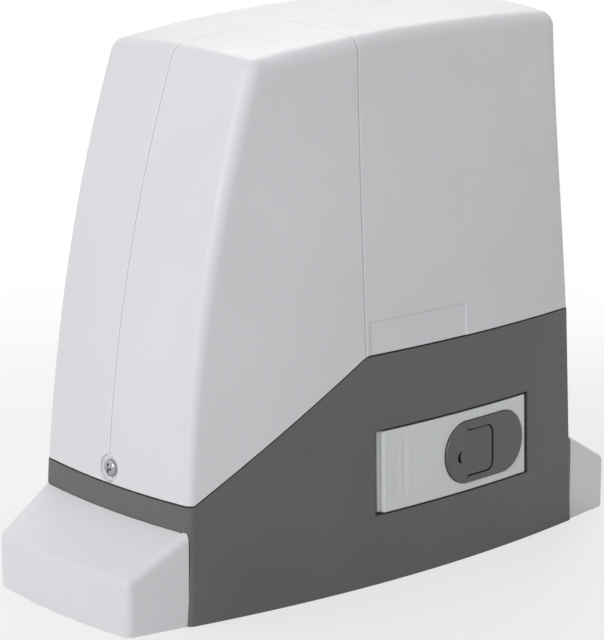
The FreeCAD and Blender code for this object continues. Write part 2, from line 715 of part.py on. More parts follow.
def screw_tab(side):
    """Upright tab behind a cover screw, slotted open at the top."""
    rim = rim_height(side)
    screw_z = rim + v("screw_above_rim")
    outer = tab_face(side)
    x0, x1 = sorted((side * (outer - v("tab_thickness")), side * outer))
    half = v("tab_width") / 2
    tab = box_shape(x0, x1, -half, half, rim - v("tab_depth"), rim + v("tab_height"))
    tab = tab.fuse(tab_root(side, 0))
    radius = v("screw_radius") + v("cover_fit")
    outside = side * (outer + past)
    inside = side * (outer - past)
    tab = tab.cut(rod_shape(radius, Vector(inside, 0, screw_z), Vector(outside, 0, screw_z)))
    x2, x3 = sorted((inside, outside))
    return tab.cut(box_shape(x2, x3, -radius, radius, screw_z, rim + 2 * past))


def lid_screw_points():
    """Places of the lid screws: along both long sides of the gear case."""
    left = v("bulkhead_x") + v("lid_screw_left")
    right = v("base_half_length") - v("base_wall") - v("lid_screw_right")
    points = []
    for x in (left, (left + right) / 2, right):
        y = -front_y(x, v("high_rim")) - v("base_wall") - v("lid_boss_radius") - 0.5
        points += [(x, -y), (x, y)]
    return points


def base_shape():
    top = v("high_rim") + v("lip_height")
    wall = v("base_wall")
    skin = base_form(0, 0, v("high_rim")).cut(above_rim(0))
    lip = base_form(wall - v("lip_thickness"), 0, top).cut(above_rim(v("lip_height")))
    dish = v("screw_recess_radius") + v("dish_wall") + v("cover_fit")
    lip = lip.cut(box_shape(-far, far, -dish, dish, v("low_rim"), top))
    body = skin.fuse(lip)
    inner = base_form(wall, 0, top + 1)
    floor = v("base_floor")
    bulk0 = v("bulkhead_x") - v("bulkhead_thickness") / 2
    bulk1 = v("bulkhead_x") + v("bulkhead_thickness") / 2
    ledge_top = v("gasket_bottom")
    ledge_low = ledge_top - v("ledge_height")
    bay = inner.common(box_shape(-far, bulk0, -far, far, floor, far))
    case_low = inner.common(box_shape(bulk1, far, -far, far, floor, ledge_low))
    neck = base_form(wall + v("ledge_width"), 0, top)
    case_neck = neck.common(box_shape(bulk1, far, -far, far, ledge_low, ledge_top))
    case_top = inner.common(box_shape(bulk0 - 1, far, -far, far, ledge_top, far))
    body = body.cut(bay).cut(case_low).cut(case_neck).cut(case_top)

    hinge = Vector(v("hinge_x"), v("lever_hinge_y"), 0)
    shaft = Vector(v("wheel_x"), 0, v("shaft_z"))
    worm = Vector(v("worm_x"), v("worm_y"), 0)
    recess_wall = v("recess_wall")
    block_shape = box_shape(
        bulk1 - 1, v("lever_right") + v("lever_gap") + recess_wall,
        -far, v("block_back"), v("lever_bottom") - v("lever_gap") - recess_wall,
        v("lever_top") + v("lever_gap") + recess_wall + 1)
    extras = [block_shape.common(base_form(wall - 1, 0, top))]
    front_y = v("front_bearing_y")
    bearing = v("front_bearing_radius") + v("front_bearing_wall")
    extras.append(rod_shape(bearing, shaft + Vector(0, v("block_back") - 1, 0),
                            shaft + Vector(0, front_y + v("front_bearing_width"), 0)))
    rear = v("rear_bearing_radius") + v("rear_bearing_wall")
    extras.append(rod_shape(rear, shaft + Vector(0, v("rear_bearing_y") - 4, 0),
                            shaft + Vector(0, v("boss_back"), 0)))
    worm_boss = v("worm_bearing_radius") + v("worm_bearing_wall")
    extras.append(rod_shape(worm_boss, worm + Vector(0, 0, floor - 1),
                            worm + Vector(0, 0, v("worm_low_z") + v("worm_bearing_width"))))
    guide = Vector(v("hinge_x"), 0, v("rod_z"))
    extras.append(rod_shape(v("rod_radius") + v("rod_guide_wall"), guide + Vector(0, v("rod_guide_front"), 0),
                            guide + Vector(0, v("rod_guide_back"), 0)))
    for x, y in lid_screw_points():
        boss = rod_shape(v("lid_boss_radius"), Vector(x, y, floor - 1), Vector(x, y, ledge_top))
        extras.append(boss)
    for side in (-1, 1):
        extras.append(mounting_flange(side).cut(base_form(wall - 1, -1, top)))
        extras.append(screw_tab(side))
    for extra in extras:
        body = body.fuse(extra)

    cuts = [lever_recess(v("lever_gap"))]
    keeper_x = v("lock_x")
    keeper_high = v("lock_z") + v("cam_reach") + 1
    cuts.append(box_shape(keeper_x - v("cam_width") / 2 - 1, keeper_x + v("keeper_length"), v("lock_cam_y") - 1,
                          v("lock_cam_y") + v("cam_thickness") + 1, v("lever_top"), keeper_high))
    cuts.append(rod_shape(v("pin_radius"), hinge + Vector(0, 0, v("pin_low")),
                          hinge + Vector(0, 0, v("pin_high"))))
    cuts.append(rod_shape(v("front_bearing_radius"), shaft + Vector(0, front_y, 0),
                          shaft + Vector(0, front_y + 2 * past, 0)))
    cuts.append(rod_shape(v("rear_bearing_radius"), shaft + Vector(0, v("rear_bearing_y") - past / 2, 0),
                          shaft + Vector(0, v("rear_bearing_y") + v("rear_bearing_width"), 0)))
    cuts.append(rod_shape(v("seal_radius"), shaft + Vector(0, v("rear_bearing_y"), 0),
                          shaft + Vector(0, v("boss_back"), 0)))
    cuts.append(rod_shape(v("worm_bearing_radius"), worm + Vector(0, 0, v("worm_low_z")),
                          worm + Vector(0, 0, 3 * past)))
    cuts.append(rod_shape(v("rod_radius") + v("rod_fit"), guide + Vector(0, v("recess_back") - past / 2, 0),
                          guide + Vector(0, v("rod_bore_end"), 0)))
    cuts.append(rod_shape(v("grommet_radius"), Vector(v("entry_x"), 0, -1),
                          Vector(v("entry_x"), 0, floor + 1)))
    for x, y in lid_screw_points():
        cuts.append(rod_shape(v("lid_screw_radius"), Vector(x, y, ledge_top - v("lid_screw_depth")),
                              Vector(x, y, ledge_top)))
    for tool in cuts:
        body = body.cut(tool)
    return body


# ---------------------------------------------------------------- cover and foot covers

def cover_shape():
    wall = v("cover_wall")
    gap = v("cover_gap")
    shell = outer_cover.cut(cover_form(wall))
    shell = shell.common(above_rim(gap))
    plate = box_shape(v("plate_left"), v("plate_right"), -200, -20, 0, v("plate_top"))
    shell = shell.cut(plate.common(shell).cut(cover_form(v("plate_depth"))))
    for side in (-1, 1):
        z = rim_height(side) + v("screw_above_rim")
        x = screw_axis_x(side)
        pad = rod_shape(v("screw_recess_radius") + v("dish_wall"), Vector(side * (x - wall), 0, z),
                        Vector(side * (x + 12), 0, z))
        shell = shell.fuse(pad.common(outer_cover).common(above_rim(gap)))
        shell = shell.cut(rod_shape(v("screw_recess_radius"), Vector(side * x, 0, z),
                                    Vector(side * (x + past), 0, z)))
        shell = shell.cut(rod_shape(v("screw_radius") + 0.2, Vector(side * (x - past), 0, z),
                                    Vector(side * (x + past), 0, z)))
    return shell


def foot_prism(side, inset, height):
    """Plan of a foot cover, pulled up to height."""
    inner = v("base_half_length") - 15
    outer = v("base_half_length") + v("foot_reach") - inset
    near_half = v("base_half_depth") + 1 - inset
    far_half = v("foot_outer_half") - inset
    a = Vector(side * inner, -near_half, 0)
    b = Vector(side * outer, -far_half, 0)
    c = Vector(side * outer, far_half, 0)
    d = Vector(side * inner, near_half, 0)
    tip = Vector(side * (outer + v("foot_outer_bow")), 0, 0)
    edges = [Part.makeLine(a, b), Part.Arc(b, tip, c).toShape(), Part.makeLine(c, d), Part.makeLine(d, a)]
    return Part.Face(Part.Wire(edges)).extrude(Vector(0, 0, height))


def foot_roof(side, drop):
    """Upper limit of a foot cover: it falls outwards and swells in step with the base's end."""
    start = v("base_half_length") + v("end_bow")
    far = v("base_half_length") + v("foot_reach") + v("foot_outer_bow")
    fall = (v("foot_inner_top") - v("foot_outer_top")) / (far - start)
    near = start - 20
    high = v("foot_inner_top") + 20 * fall - drop
    half = v("base_half_depth")
    sag = fall * v("end_bow")
    a = Vector(side * near, -half, high - sag)
    b = Vector(side * near, half, high - sag)
    feet = [Vector(side * near, half, -60), Vector(side * near, -half, -60)]
    crest = Part.Arc(a, Vector(side * near, 0, high), b).toShape()
    edges = [crest, Part.makeLine(b, feet[0]), Part.makeLine(feet[0], feet[1]), Part.makeLine(feet[1], a)]
    reach = far - near + 5
    return Part.Face(Part.Wire(edges)).extrude(Vector(side * reach, 0, -fall * reach))


def foot_cover_shape(side):
    rough = v("foot_inner_top") + 40
    outer = foot_prism(side, 0, rough).common(foot_roof(side, 0))
    reach = v("base_half_length") + 2
    edges = []
    for edge in outer.Edges:
        box = edge.BoundBox
        outward = min(abs(box.XMin), abs(box.XMax)) > reach
        roof = box.ZMin > 5 and box.ZMax > v("foot_outer_top") - 1
        climbs = along_axis(Vector(0, 0, 1))(edge)
        if (climbs and outward) or (roof and not climbs and max(abs(box.XMin), abs(box.XMax)) > reach):
            edges.append(edge)
    outer = outer.makeFillet(v("foot_round"), edges)
    wall = v("foot_wall")
    inner = foot_prism(side, wall, rough).common(foot_roof(side, wall))
    shell = outer.cut(inner)
    gap = v("foot_gap")
    return shell.cut(base_form(-gap, -1, v("high_rim")))


# ---------------------------------------------------------------- release lever and lock

def stadium(x, z, length, height, shrink):
    """Upright-edged oval through the front of the base, long along X."""
    radius = height / 2 - shrink
    half = length / 2 - height / 2
    start = Vector(x, -120, z)
    end = Vector(x, -20, z)
    oval = box_shape(x - half, x + half, -120, -20, z - radius, z + radius)
    for shift in (-half, half):
        oval = oval.fuse(rod_shape(radius, start + Vector(shift, 0, 0), end + Vector(shift, 0, 0)))
    return oval


def front_slice(outer, inner):
    """Layer of the base's form between two depths under its surface."""
    return base_form(outer, 0, v("high_rim")).cut(base_form(inner, -1, v("high_rim") + 1))


def front_box(x0, x1, z0, z1):
    return box_shape(x0, x1, -120, -20, z0, z1)


def foot_slots(clearance):
    """Slots that the shutter's hooked feet run in."""
    left = v("shutter_tongue_right") - v("shutter_travel") - 16 - clearance
    right = v("shutter_tongue_right") - 4 + clearance
    slots = []
    for sign in (-1, 1):
        outer = v("lock_z") + sign * v("shutter_tongue_half")
        inner = outer - sign * v("shutter_foot")
        low, high = sorted((outer + sign * clearance, inner - sign * clearance))
        slots.append(front_box(left, right, low, high))
    return slots


def lever_shape():
    x0, x1 = v("lever_left"), v("lever_right")
    z0, z1 = v("lever_bottom"), v("lever_top")
    rim = v("lever_rim")
    pan = front_slice(0, v("lever_depth")).common(front_box(x0, x1, z0, z1))
    hollow = front_slice(v("lever_skin"), v("lever_depth") + 5)
    hollow = hollow.common(front_box(x0 + rim, x1 - rim, z0 + rim, z1 - rim))
    corner = [e for e in pan.Edges if along_axis(Vector(0, 0, 1))(e) or e.BoundBox.ZLength > 0.9 * (z1 - z0)]
    corner = [e for e in corner if e.BoundBox.XMax < x0 + 1]
    pan = pan.makeFillet(v("lever_end_round"), corner)
    pan = pan.cut(hollow)
    hinge = Vector(v("hinge_x"), v("lever_hinge_y"), 0)
    tall = v("knuckle_height")
    for low in (z0 + 1, z1 - 1 - tall):
        knuckle = rod_shape(v("knuckle_radius"), hinge + Vector(0, 0, low), hinge + Vector(0, 0, low + tall))
        web = box_shape(hinge.x - v("knuckle_radius"), hinge.x + v("knuckle_radius"), -90, hinge.y, low,
                        low + tall)
        pan = pan.fuse(knuckle).fuse(web.common(front_slice(1, 12)))
    pan = pan.cut(rod_shape(v("pin_radius") + v("pin_fit"), hinge, hinge + Vector(0, 0, 120)))
    lobe = v("cam_low") + v("release_stroke") + 0.4
    window = v("cam_height") / 2 + 0.5
    pan = pan.cut(box_shape(hinge.x - lobe - 5, hinge.x, hinge.y - 3.5, hinge.y + 20,
                            v("rod_z") - window, v("rod_z") + window))
    centre = v("oval_centre_x")
    oval = stadium(centre, v("lock_z"), v("oval_length"), v("oval_height"), 0)
    pan = pan.cut(oval.common(front_slice(-1, v("oval_thickness") + v("oval_gap"))))
    for slot in foot_slots(v("slot_play")):
        pan = pan.cut(slot)
    barrel = v("barrel_radius") + v("pin_fit")
    axis = Vector(v("lock_x"), 0, v("lock_z"))
    pan = pan.cut(rod_shape(barrel, axis + Vector(0, -100, 0), axis + Vector(0, -40, 0)))
    middle = (z0 + z1) / 2
    for step in (-1, 0, 1):
        x = v("flute_x") + step * v("flute_pitch")
        surface = front_y(x, middle)
        y = surface - v("flute_radius") + v("flute_depth")
        pan = pan.cut(rod_shape(v("flute_radius"), Vector(x, y, z0 + 4), Vector(x, y, z1 - 4)))
    return pan


def tongue_box(grow, outer, inner):
    """Rounded square of the shutter's tongue, between two depths."""
    half = v("shutter_tongue_half") + grow
    right = v("shutter_tongue_right") + grow
    z = v("lock_z")
    prism = front_box(v("shutter_tongue_left"), right, z - half, z + half)
    edges = [e for e in prism.Edges if along_axis(Vector(0, 1, 0))(e) and e.BoundBox.XMin > right - 0.1]
    prism = prism.makeFillet(v("tongue_corner") + grow, edges)
    return prism.common(front_slice(outer, inner))


def tongue_depth():
    return v("oval_thickness") - v("tongue_drop")


def escutcheon_shape():
    oval = stadium(v("oval_centre_x"), v("lock_z"), v("oval_length"), v("oval_height"), v("oval_gap"))
    plate = oval.common(front_slice(0, v("oval_thickness")))
    plate = plate.cut(tongue_box(v("shutter_gap"), -1, tongue_depth() + 0.2))
    left = v("shutter_tongue_right") - v("shutter_travel")
    z = v("lock_z")
    beside = front_box(left - past, left + 1, z - 2 * past, z + 2 * past)
    plate = plate.cut(beside.common(front_slice(-1, tongue_depth() + 0.2)))
    axis = Vector(v("lock_x"), 0, z)
    plate = plate.cut(rod_shape(v("barrel_radius") + v("pin_fit"), axis + Vector(0, -100, 0),
                                axis + Vector(0, -40, 0)))
    for slot in foot_slots(v("slot_play")):
        plate = plate.cut(slot)
    return plate


def shutter_shape():
    """Shutter over the key: a sloping thumb rest with a flat tongue and two hooked feet."""
    z = v("lock_z")
    oval = stadium(v("oval_centre_x"), z, v("oval_length"), v("oval_height"), v("oval_gap") + v("shutter_lift"))
    end = v("shutter_slope_end")
    left = v("shutter_left")
    rise = v("shutter_rise")
    head = oval.common(front_slice(-rise, 0.1)).common(front_box(left, end, z - 2 * past, z + 2 * past))
    slope = [(left - 5, front_y(left, z) - rise - 4), (left - 5, front_y(left, z) - rise * 0.75),
             (left + 8, front_y(left + 8, z) - rise), (end, front_y(end, z) - 0.05),
             (end, front_y(left, z) - rise - 4)]
    outline = [Vector(x, y, 0) for x, y in slope]
    head = head.cut(Part.Face(Part.makePolygon(outline + outline[:1])).extrude(Vector(0, 0, far)))
    head = head.cut(front_slice(-v("shutter_lift"), 5))
    tongue = tongue_box(0, 0, tongue_depth())
    bridge = oval.common(tongue_box(0, -0.6, tongue_depth()))
    shutter = head.fuse(tongue).fuse(bridge)
    back = v("lever_skin") + 0.5
    right = v("shutter_tongue_right") - v("foot_inset")
    left_end = right - v("foot_length")
    hook_back = back + v("hook_thickness")
    for sign in (-1, 1):
        outer = z + sign * v("shutter_tongue_half")
        inner = outer - sign * v("shutter_foot")
        low, high = sorted((outer, inner))
        foot = front_box(left_end, right, low, high).common(front_slice(0.5, hook_back))
        low, high = sorted((outer + sign * v("hook_reach"), inner))
        hook = front_box(left_end, right, low, high).common(front_slice(back, hook_back))
        shutter = shutter.fuse(foot).fuse(hook)
    ahead = Vector(0, -5 * past, 0)
    behind = Vector(0, -2 * past, 0)
    centre = Vector(left + v("notch_x"), 0, z)
    inner_centre = Vector(left + v("notch_inner_x"), 0, z)
    notch = rod_shape(v("notch_radius"), centre + ahead, centre + behind)
    notch = notch.cut(rod_shape(v("notch_inner_radius"), inner_centre + ahead, inner_centre + behind))
    notch = notch.common(front_slice(-rise, -v("notch_floor")))
    return shutter.cut(notch)


def cam_shape():
    """Release cam: its radius grows evenly over the quarter turn that meets the rod."""
    low = v("cam_low")
    stroke = v("release_stroke")
    steps = 8
    points = []
    for i in range(steps + 1):
        turn = math.radians(90 + 90 * i / steps)
        radius = low + stroke * i / steps
        points.append(Vector(radius * math.cos(turn), radius * math.sin(turn), 0))
    spiral = Part.BSplineCurve()
    spiral.interpolate(points)
    last = points[-1]
    high = low + stroke
    nose_low = Vector(-low * math.cos(0.9), -low * math.sin(0.9), 0)
    nose = Part.Arc(last, Vector(-high * 0.86, -low * 0.55, 0), nose_low).toShape()
    heel = Part.Arc(nose_low, Vector(low * math.cos(-0.4), low * math.sin(-0.4), 0), points[0]).toShape()
    wire = Part.Wire([spiral.toShape(), nose, heel])
    disc = Part.Face(wire).extrude(Vector(0, 0, v("cam_height")))
    disc = disc.cut(rod_shape(v("pin_radius") + v("pin_fit"), Vector(0, 0, -1), Vector(0, 0, 50)))
    disc.translate(Vector(v("hinge_x"), v("lever_hinge_y"), v("rod_z") - v("cam_height") / 2))
    return disc


# ---------------------------------------------------------------- gears and clutch

def gear_face(teeth, module, backlash):
    """Outline of a spur gear with involute flanks, in the XY plane."""
    pitch = module * teeth / 2
    base = pitch * math.cos(math.radians(v("pressure_angle")))
    tip = pitch + module
    root = pitch - v("root_modules") * module
    half_tooth = (math.pi * module / 2 - backlash) / (2 * pitch)
    involute = math.tan(math.radians(v("pressure_angle"))) - math.radians(v("pressure_angle"))

    def flank(radius):
        """Half angle of the tooth at a radius."""
        if radius <= base:
            return half_tooth + involute
        angle = math.acos(base / radius)
        return half_tooth + involute - (math.tan(angle) - angle)

    def at(radius, angle):
        return Vector(radius * math.cos(angle), radius * math.sin(angle), 0)

    step = 2 * math.pi / teeth
    start = max(base, root)
    middle = (start + tip) / 2
    edges = []
    for i in range(int(teeth)):
        centre = i * step
        low, high = centre - flank(start), centre + flank(start)
        if root < base:
            edges.append(Part.makeLine(at(root, low), at(start, low)))
        edges.append(Part.Arc(at(start, low), at(middle, centre - flank(middle)),
                              at(tip, centre - flank(tip))).toShape())
        edges.append(Part.Arc(at(tip, centre - flank(tip)), at(tip, centre),
                              at(tip, centre + flank(tip))).toShape())
        edges.append(Part.Arc(at(tip, centre + flank(tip)), at(middle, centre + flank(middle)),
                              at(start, high)).toShape())
        if root < base:
            edges.append(Part.makeLine(at(start, high), at(root, high)))
        following = centre + step - flank(start)
        edges.append(Part.Arc(at(root, high), at(root, (high + following) / 2),
                              at(root, following)).toShape())
    return Part.Face(Part.Wire(edges))


def on_shaft(shape, y):
    """Lay a piece made along Z on the output shaft's axis, starting at y."""
    shape.Placement = Placement(Vector(v("wheel_x"), y, v("shaft_z")), TURNS["y"])
    return shape


def pinion_shape():
    width = v("pinion_width")
    gear = gear_face(v("pinion_teeth"), v("pinion_module"), 0.15).extrude(Vector(0, 0, width))
    key = key_box(v("pinion_key_width") + 0.1, v("output_radius") + v("pinion_key_height") / 2 + 0.1, -1,
                  width + 1)
    gear = gear.cut(rod_shape(v("output_radius") + 0.02, Vector(0, 0, -1), Vector(0, 0, width + 1))).cut(key)
    return on_shaft(gear, v("boss_back") + v("pinion_gap"))


def key_box(width, reach, start, end):
    return box_shape(0, reach, -width / 2, width / 2, start, end)


def claws(shape_start, shape_end, phase, share):
    """Clutch claws as ring sectors that fill share of the circle."""
    ring_part = rod_shape(v("claw_outer"), Vector(0, 0, shape_start), Vector(0, 0, shape_end))
    ring_part = ring_part.cut(rod_shape(v("claw_inner"), Vector(0, 0, shape_start), Vector(0, 0, shape_end)))
    count = int(v("claw_count"))
    angle = 360.0 / count * share
    made = None
    for i in range(count):
        wedge = Part.makeCylinder(v("claw_outer") + 5, shape_end - shape_start, Vector(0, 0, shape_start),
                                  Vector(0, 0, 1), angle)
        wedge.rotate(Vector(), Vector(0, 0, 1), phase + i * 360.0 / count)
        sector = ring_part.common(wedge)
        made = sector if made is None else made.fuse(sector)
    return made


def worm_wheel_shape():
    """Worm wheel: slanted teeth on a rim, a web with six lightening holes, a hub with claws."""
    width = v("wheel_width")
    module = v("worm_module")
    lead = math.atan(module / (2 * v("worm_pitch_radius")))
    pitch = module * v("wheel_teeth") / 2
    twist = math.degrees(width * math.tan(lead) / pitch)
    half_tooth = 180.0 / v("wheel_teeth")
    wires = []
    for share in (-0.5, 0.5):
        wire = gear_face(v("wheel_teeth"), module, 0.0).OuterWire
        wire.rotate(Vector(), Vector(0, 0, 1), share * twist + half_tooth)
        wire.translate(Vector(0, 0, (share + 0.5) * width))
        wires.append(wire)
    gear = Part.makeLoft(wires, True, True)
    rim = pitch - v("root_modules") * module - v("wheel_rim")
    hub = v("wheel_hub_radius")
    dish = (width - v("wheel_web")) / 2
    for start in (0, width - dish):
        gap = rod_shape(rim, Vector(0, 0, start), Vector(0, 0, start + dish))
        gear = gear.cut(gap.cut(rod_shape(hub, Vector(0, 0, start), Vector(0, 0, start + dish))))
    hole_ring = (rim + hub) / 2
    holes = int(v("wheel_holes"))
    for i in range(holes):
        angle = math.radians(360 / holes * (i + 0.5))
        spot = Vector(hole_ring * math.cos(angle), hole_ring * math.sin(angle), 0)
        gear = gear.cut(rod_shape((rim - hub) / 2 - 1, spot, spot + Vector(0, 0, width)))
    gear = gear.fuse(claws(width, width + v("claw_height"), 0, v("claw_share")))
    gear = gear.cut(rod_shape(v("output_radius") + v("shaft_fit"), Vector(0, 0, -1),
                              Vector(0, 0, width + 10)))
    return on_shaft(gear, v("wheel_front"))


def clutch_dog_shape():
    length = v("dog_length")
    dog = rod_shape(v("claw_outer"), Vector(0, 0, 0), Vector(0, 0, length))
    groove_start = (length - v("groove_width")) / 2
    groove = rod_shape(v("claw_outer") + 1, Vector(0, 0, groove_start),
                       Vector(0, 0, groove_start + v("groove_width")))
    groove = groove.cut(rod_shape(v("groove_radius"), Vector(0, 0, 0), Vector(0, 0, length)))
    dog = dog.cut(groove).fuse(claws(-v("claw_height"), 0, 60, v("claw_share")))
    dog = dog.cut(rod_shape(v("output_radius") + v("shaft_fit"), Vector(0, 0, -10), Vector(0, 0, length + 1)))
    reach = v("output_radius") + v("clutch_key_height") / 2 + 0.15
    dog = dog.cut(key_box(v("clutch_key_width") + 0.2, reach, -10, length + 1))
    return on_shaft(dog, v("dog_front"))


def worm_turns():
    """Whole turns of thread that fit the worm."""
    pitch = math.pi * v("worm_module")
    return int((v("worm_length") - pitch) / pitch)


def worm_thread():
    """One start of trapezoid thread wound round the worm."""
    module = v("worm_module")
    pitch = math.pi * module
    radius = v("worm_pitch_radius")
    root = radius - v("root_modules") * module
    tip = radius + module
    slope = math.tan(math.radians(v("pressure_angle")))
    half = (pitch / 2 - v("tooth_backlash")) / 2
    deep = root - 0.5
    outline = [
        Vector(deep, 0, -half - (radius - deep) * slope), Vector(tip, 0, -half + (tip - radius) * slope),
        Vector(tip, 0, half - (tip - radius) * slope), Vector(deep, 0, half + (radius - deep) * slope)]
    helix = Part.makeHelix(pitch, worm_turns() * pitch, radius)
    path = Part.Wire(helix.Edges)
    profile = Part.makePolygon(outline + outline[:1])
    return path.makePipeShell([profile], True, True)


def worm_shaft_shape():
    """Motor shaft with the worm cut on its lower half."""
    middle = v("shaft_z")
    low = middle - v("worm_length") / 2
    root = v("worm_pitch_radius") - v("root_modules") * v("worm_module")
    radius = v("rotor_shaft_radius")
    pitch = math.pi * v("worm_module")
    thread = worm_thread()
    thread.translate(Vector(0, 0, middle - pitch * (worm_turns() // 2 + 0.5)))
    core = rod_shape(root, Vector(0, 0, low - 4), Vector(0, 0, low + v("worm_length") + 4))
    shaft = rod_shape(radius, Vector(0, 0, v("worm_low_z")), Vector(0, 0, v("rotor_top")))
    worm = shaft.fuse(core).fuse(thread)
    worm.translate(Vector(v("worm_x"), v("worm_y"), 0))
    return worm


def output_shaft_shape():
    radius = v("output_radius")
    start = v("front_bearing_y")
    end = v("boss_back") + v("pinion_gap") + v("pinion_width")
    collar = v("wheel_front") - v("rest_gap")
    shaft = rod_shape(v("output_front_radius"), Vector(0, 0, start), Vector(0, 0, 0))
    shaft = shaft.fuse(rod_shape(radius, Vector(0, 0, start + v("front_bearing_width")), Vector(0, 0, end)))
    shaft = shaft.fuse(rod_shape(radius + v("shaft_collar"), Vector(0, 0, collar - v("shaft_collar_width")),
                                 Vector(0, 0, collar)))
    long_key = key_box(v("clutch_key_width"), radius + 5, v("dog_front") - 1,
                       v("dog_front") + v("dog_length") + 8)
    long_key = long_key.cut(rod_shape(radius - v("clutch_key_height") / 2, Vector(0, 0, -50),
                                      Vector(0, 0, 80)))
    rear_key = key_box(v("pinion_key_width"), radius + 5, v("boss_back") + v("pinion_gap") + 2, end - 3)
    rear_key = rear_key.cut(rod_shape(radius - v("pinion_key_height") / 2, Vector(0, 0, 50),
                                      Vector(0, 0, 150)))
    groove = rod_shape(radius + 2, Vector(0, 0, v("clip_y")), Vector(0, 0, v("clip_y") + v("clip_width")))
    groove = groove.cut(rod_shape(radius - 1, Vector(0, 0, -50), Vector(0, 0, 50)))
    bolt = rod_shape(v("pinion_bolt_radius"), Vector(0, 0, end - v("bolt_depth")), Vector(0, 0, end))
    for tool in (long_key, rear_key, groove, bolt):
        shaft = shaft.cut(tool)
    return on_shaft(shaft, 0)


def key_shape(width, height, start, end):
    """Feather key lying in the output shaft's groove."""
    radius = v("output_radius")
    key = box_shape(0, radius + height / 2, -width / 2 + 0.02, width / 2 - 0.02, start, end)
    key = key.cut(rod_shape(radius - height / 2 + 0.02, Vector(0, 0, start - 1), Vector(0, 0, end + 1)))
    return on_shaft(key, 0)


def fork_shape():
    """Release fork: an arm from the rod to a half ring in the dog's groove."""
    thick = v("fork_thickness")
    inner = v("groove_radius") + v("rest_gap")
    shaft = Vector(v("wheel_x"), 0, v("shaft_z"))
    rod = Vector(v("hinge_x"), 0, v("rod_z"))
    outer = v("claw_outer") + v("fork_rim")
    y0 = v("dog_front") + v("dog_length") / 2 - thick / 2
    front = Vector(0, y0, 0)
    back = Vector(0, y0 + thick, 0)
    fork = rod_shape(outer, shaft + front, shaft + back)
    fork = fork.cut(box_shape(shaft.x, shaft.x + 3 * past, -3 * past, 3 * past, 0, 6.5 * past))
    fork = fork.fuse(rod_shape(v("rod_radius") + v("fork_eye_wall"), rod + front, rod + back))
    half = v("fork_arm_half")
    arm_end = shaft.x - v("fork_arm_end")
    fork = fork.fuse(box_shape(rod.x, arm_end, y0, y0 + thick, rod.z - half, rod.z + half))
    fork = fork.cut(rod_shape(inner, shaft + front, shaft + back))
    return fork.cut(rod_shape(v("rod_radius"), rod + front, rod + back))


# ---------------------------------------------------------------- lid and motor shells

def lid_plate(inset, bottom, thickness):
    """Plate that fills the gear case opening."""
    left = v("bulkhead_x") - v("bulkhead_thickness") / 2
    top = v("high_rim") + 2
    form = base_form(v("base_wall") + inset, 0, top)
    plate = form.common(box_shape(left, far, -far, far, bottom, bottom + thickness))
    plate = plate.cut(tab_root(1, v("cover_fit")))
    for x, y in lid_screw_points():
        radius = v("lid_screw_radius") + 0.3
        plate = plate.cut(rod_shape(radius, Vector(x, y, bottom - 1), Vector(x, y, bottom + thickness + 1)))
    return plate


def lid_shape():
    """Lid of the gear case, with the seat of the upper worm bearing."""
    bottom = v("lid_bottom")
    thick = v("lid_thickness")
    plate = lid_plate(v("cover_fit"), bottom, thick)
    worm = Vector(v("worm_x"), v("worm_y"), 0)
    seat = v("worm_bearing_radius")
    plate = plate.fuse(rod_shape(seat + v("worm_bearing_wall"), worm + Vector(0, 0, v("worm_high_z") - 2),
                                 worm + Vector(0, 0, bottom + 1)))
    plate = plate.cut(rod_shape(seat, worm + Vector(0, 0, v("worm_high_z")),
                                worm + Vector(0, 0, bottom + thick)))
    plate = plate.cut(rod_shape(seat - 3, worm, worm + Vector(0, 0, bottom)))
    plug = Vector(v("oil_plug_x"), v("oil_plug_y"), 0)
    return plate.cut(rod_shape(v("oil_plug_radius"), plug, plug + Vector(0, 0, bottom + thick)))


def gasket_shape():
    sheet = lid_plate(v("cover_fit"), v("gasket_bottom"), v("gasket_thickness"))
    opening = base_form(v("base_wall") + v("ledge_width"), 0, v("high_rim"))
    right = v("bulkhead_x") + v("bulkhead_thickness") / 2
    opening = opening.common(box_shape(right, far, -far, far, 0, far))
    for x, y in lid_screw_points():
        opening = opening.cut(rod_shape(v("lid_boss_radius"), Vector(x, y, 0), Vector(x, y, 200)))
    return sheet.cut(opening)


def cap_screw(name, head_radius, head_height, radius, length, at, along="z"):
    """Screw with its head's underside at the given place, shank running back from it."""
    outline = [("0", "-(%s)" % length), (radius, "-(%s)" % length), (radius, "0"), (head_radius, "0"),
               (head_radius, head_height), ("0", head_height)]
    return turned_body(name, outline, at, along)


def bearing(name, outer, inner, width, at, along="z"):
    """Ball bearing as one turned ring with its shield grooves."""
    rim = "(%s) + ((%s) - (%s)) * 0.3" % (inner, outer, inner)
    lip = "(%s) - ((%s) - (%s)) * 0.25" % (outer, outer, inner)
    low = "0.6"
    high = "(%s) - 0.6" % width
    outline = [(inner, "0"), (rim, "0"), (rim, low), (lip, low), (lip, "0"), (outer, "0"), (outer, width),
               (lip, width), (lip, high), (rim, high), (rim, width), (inner, width)]
    return turned_body(name, outline, at, along)


# ---------------------------------------------------------------- sub-parts

def at_shaft(y):
    return ("wheel_x", y, "shaft_z")


def at_worm(height):
    return ("worm_x", "worm_y", height)


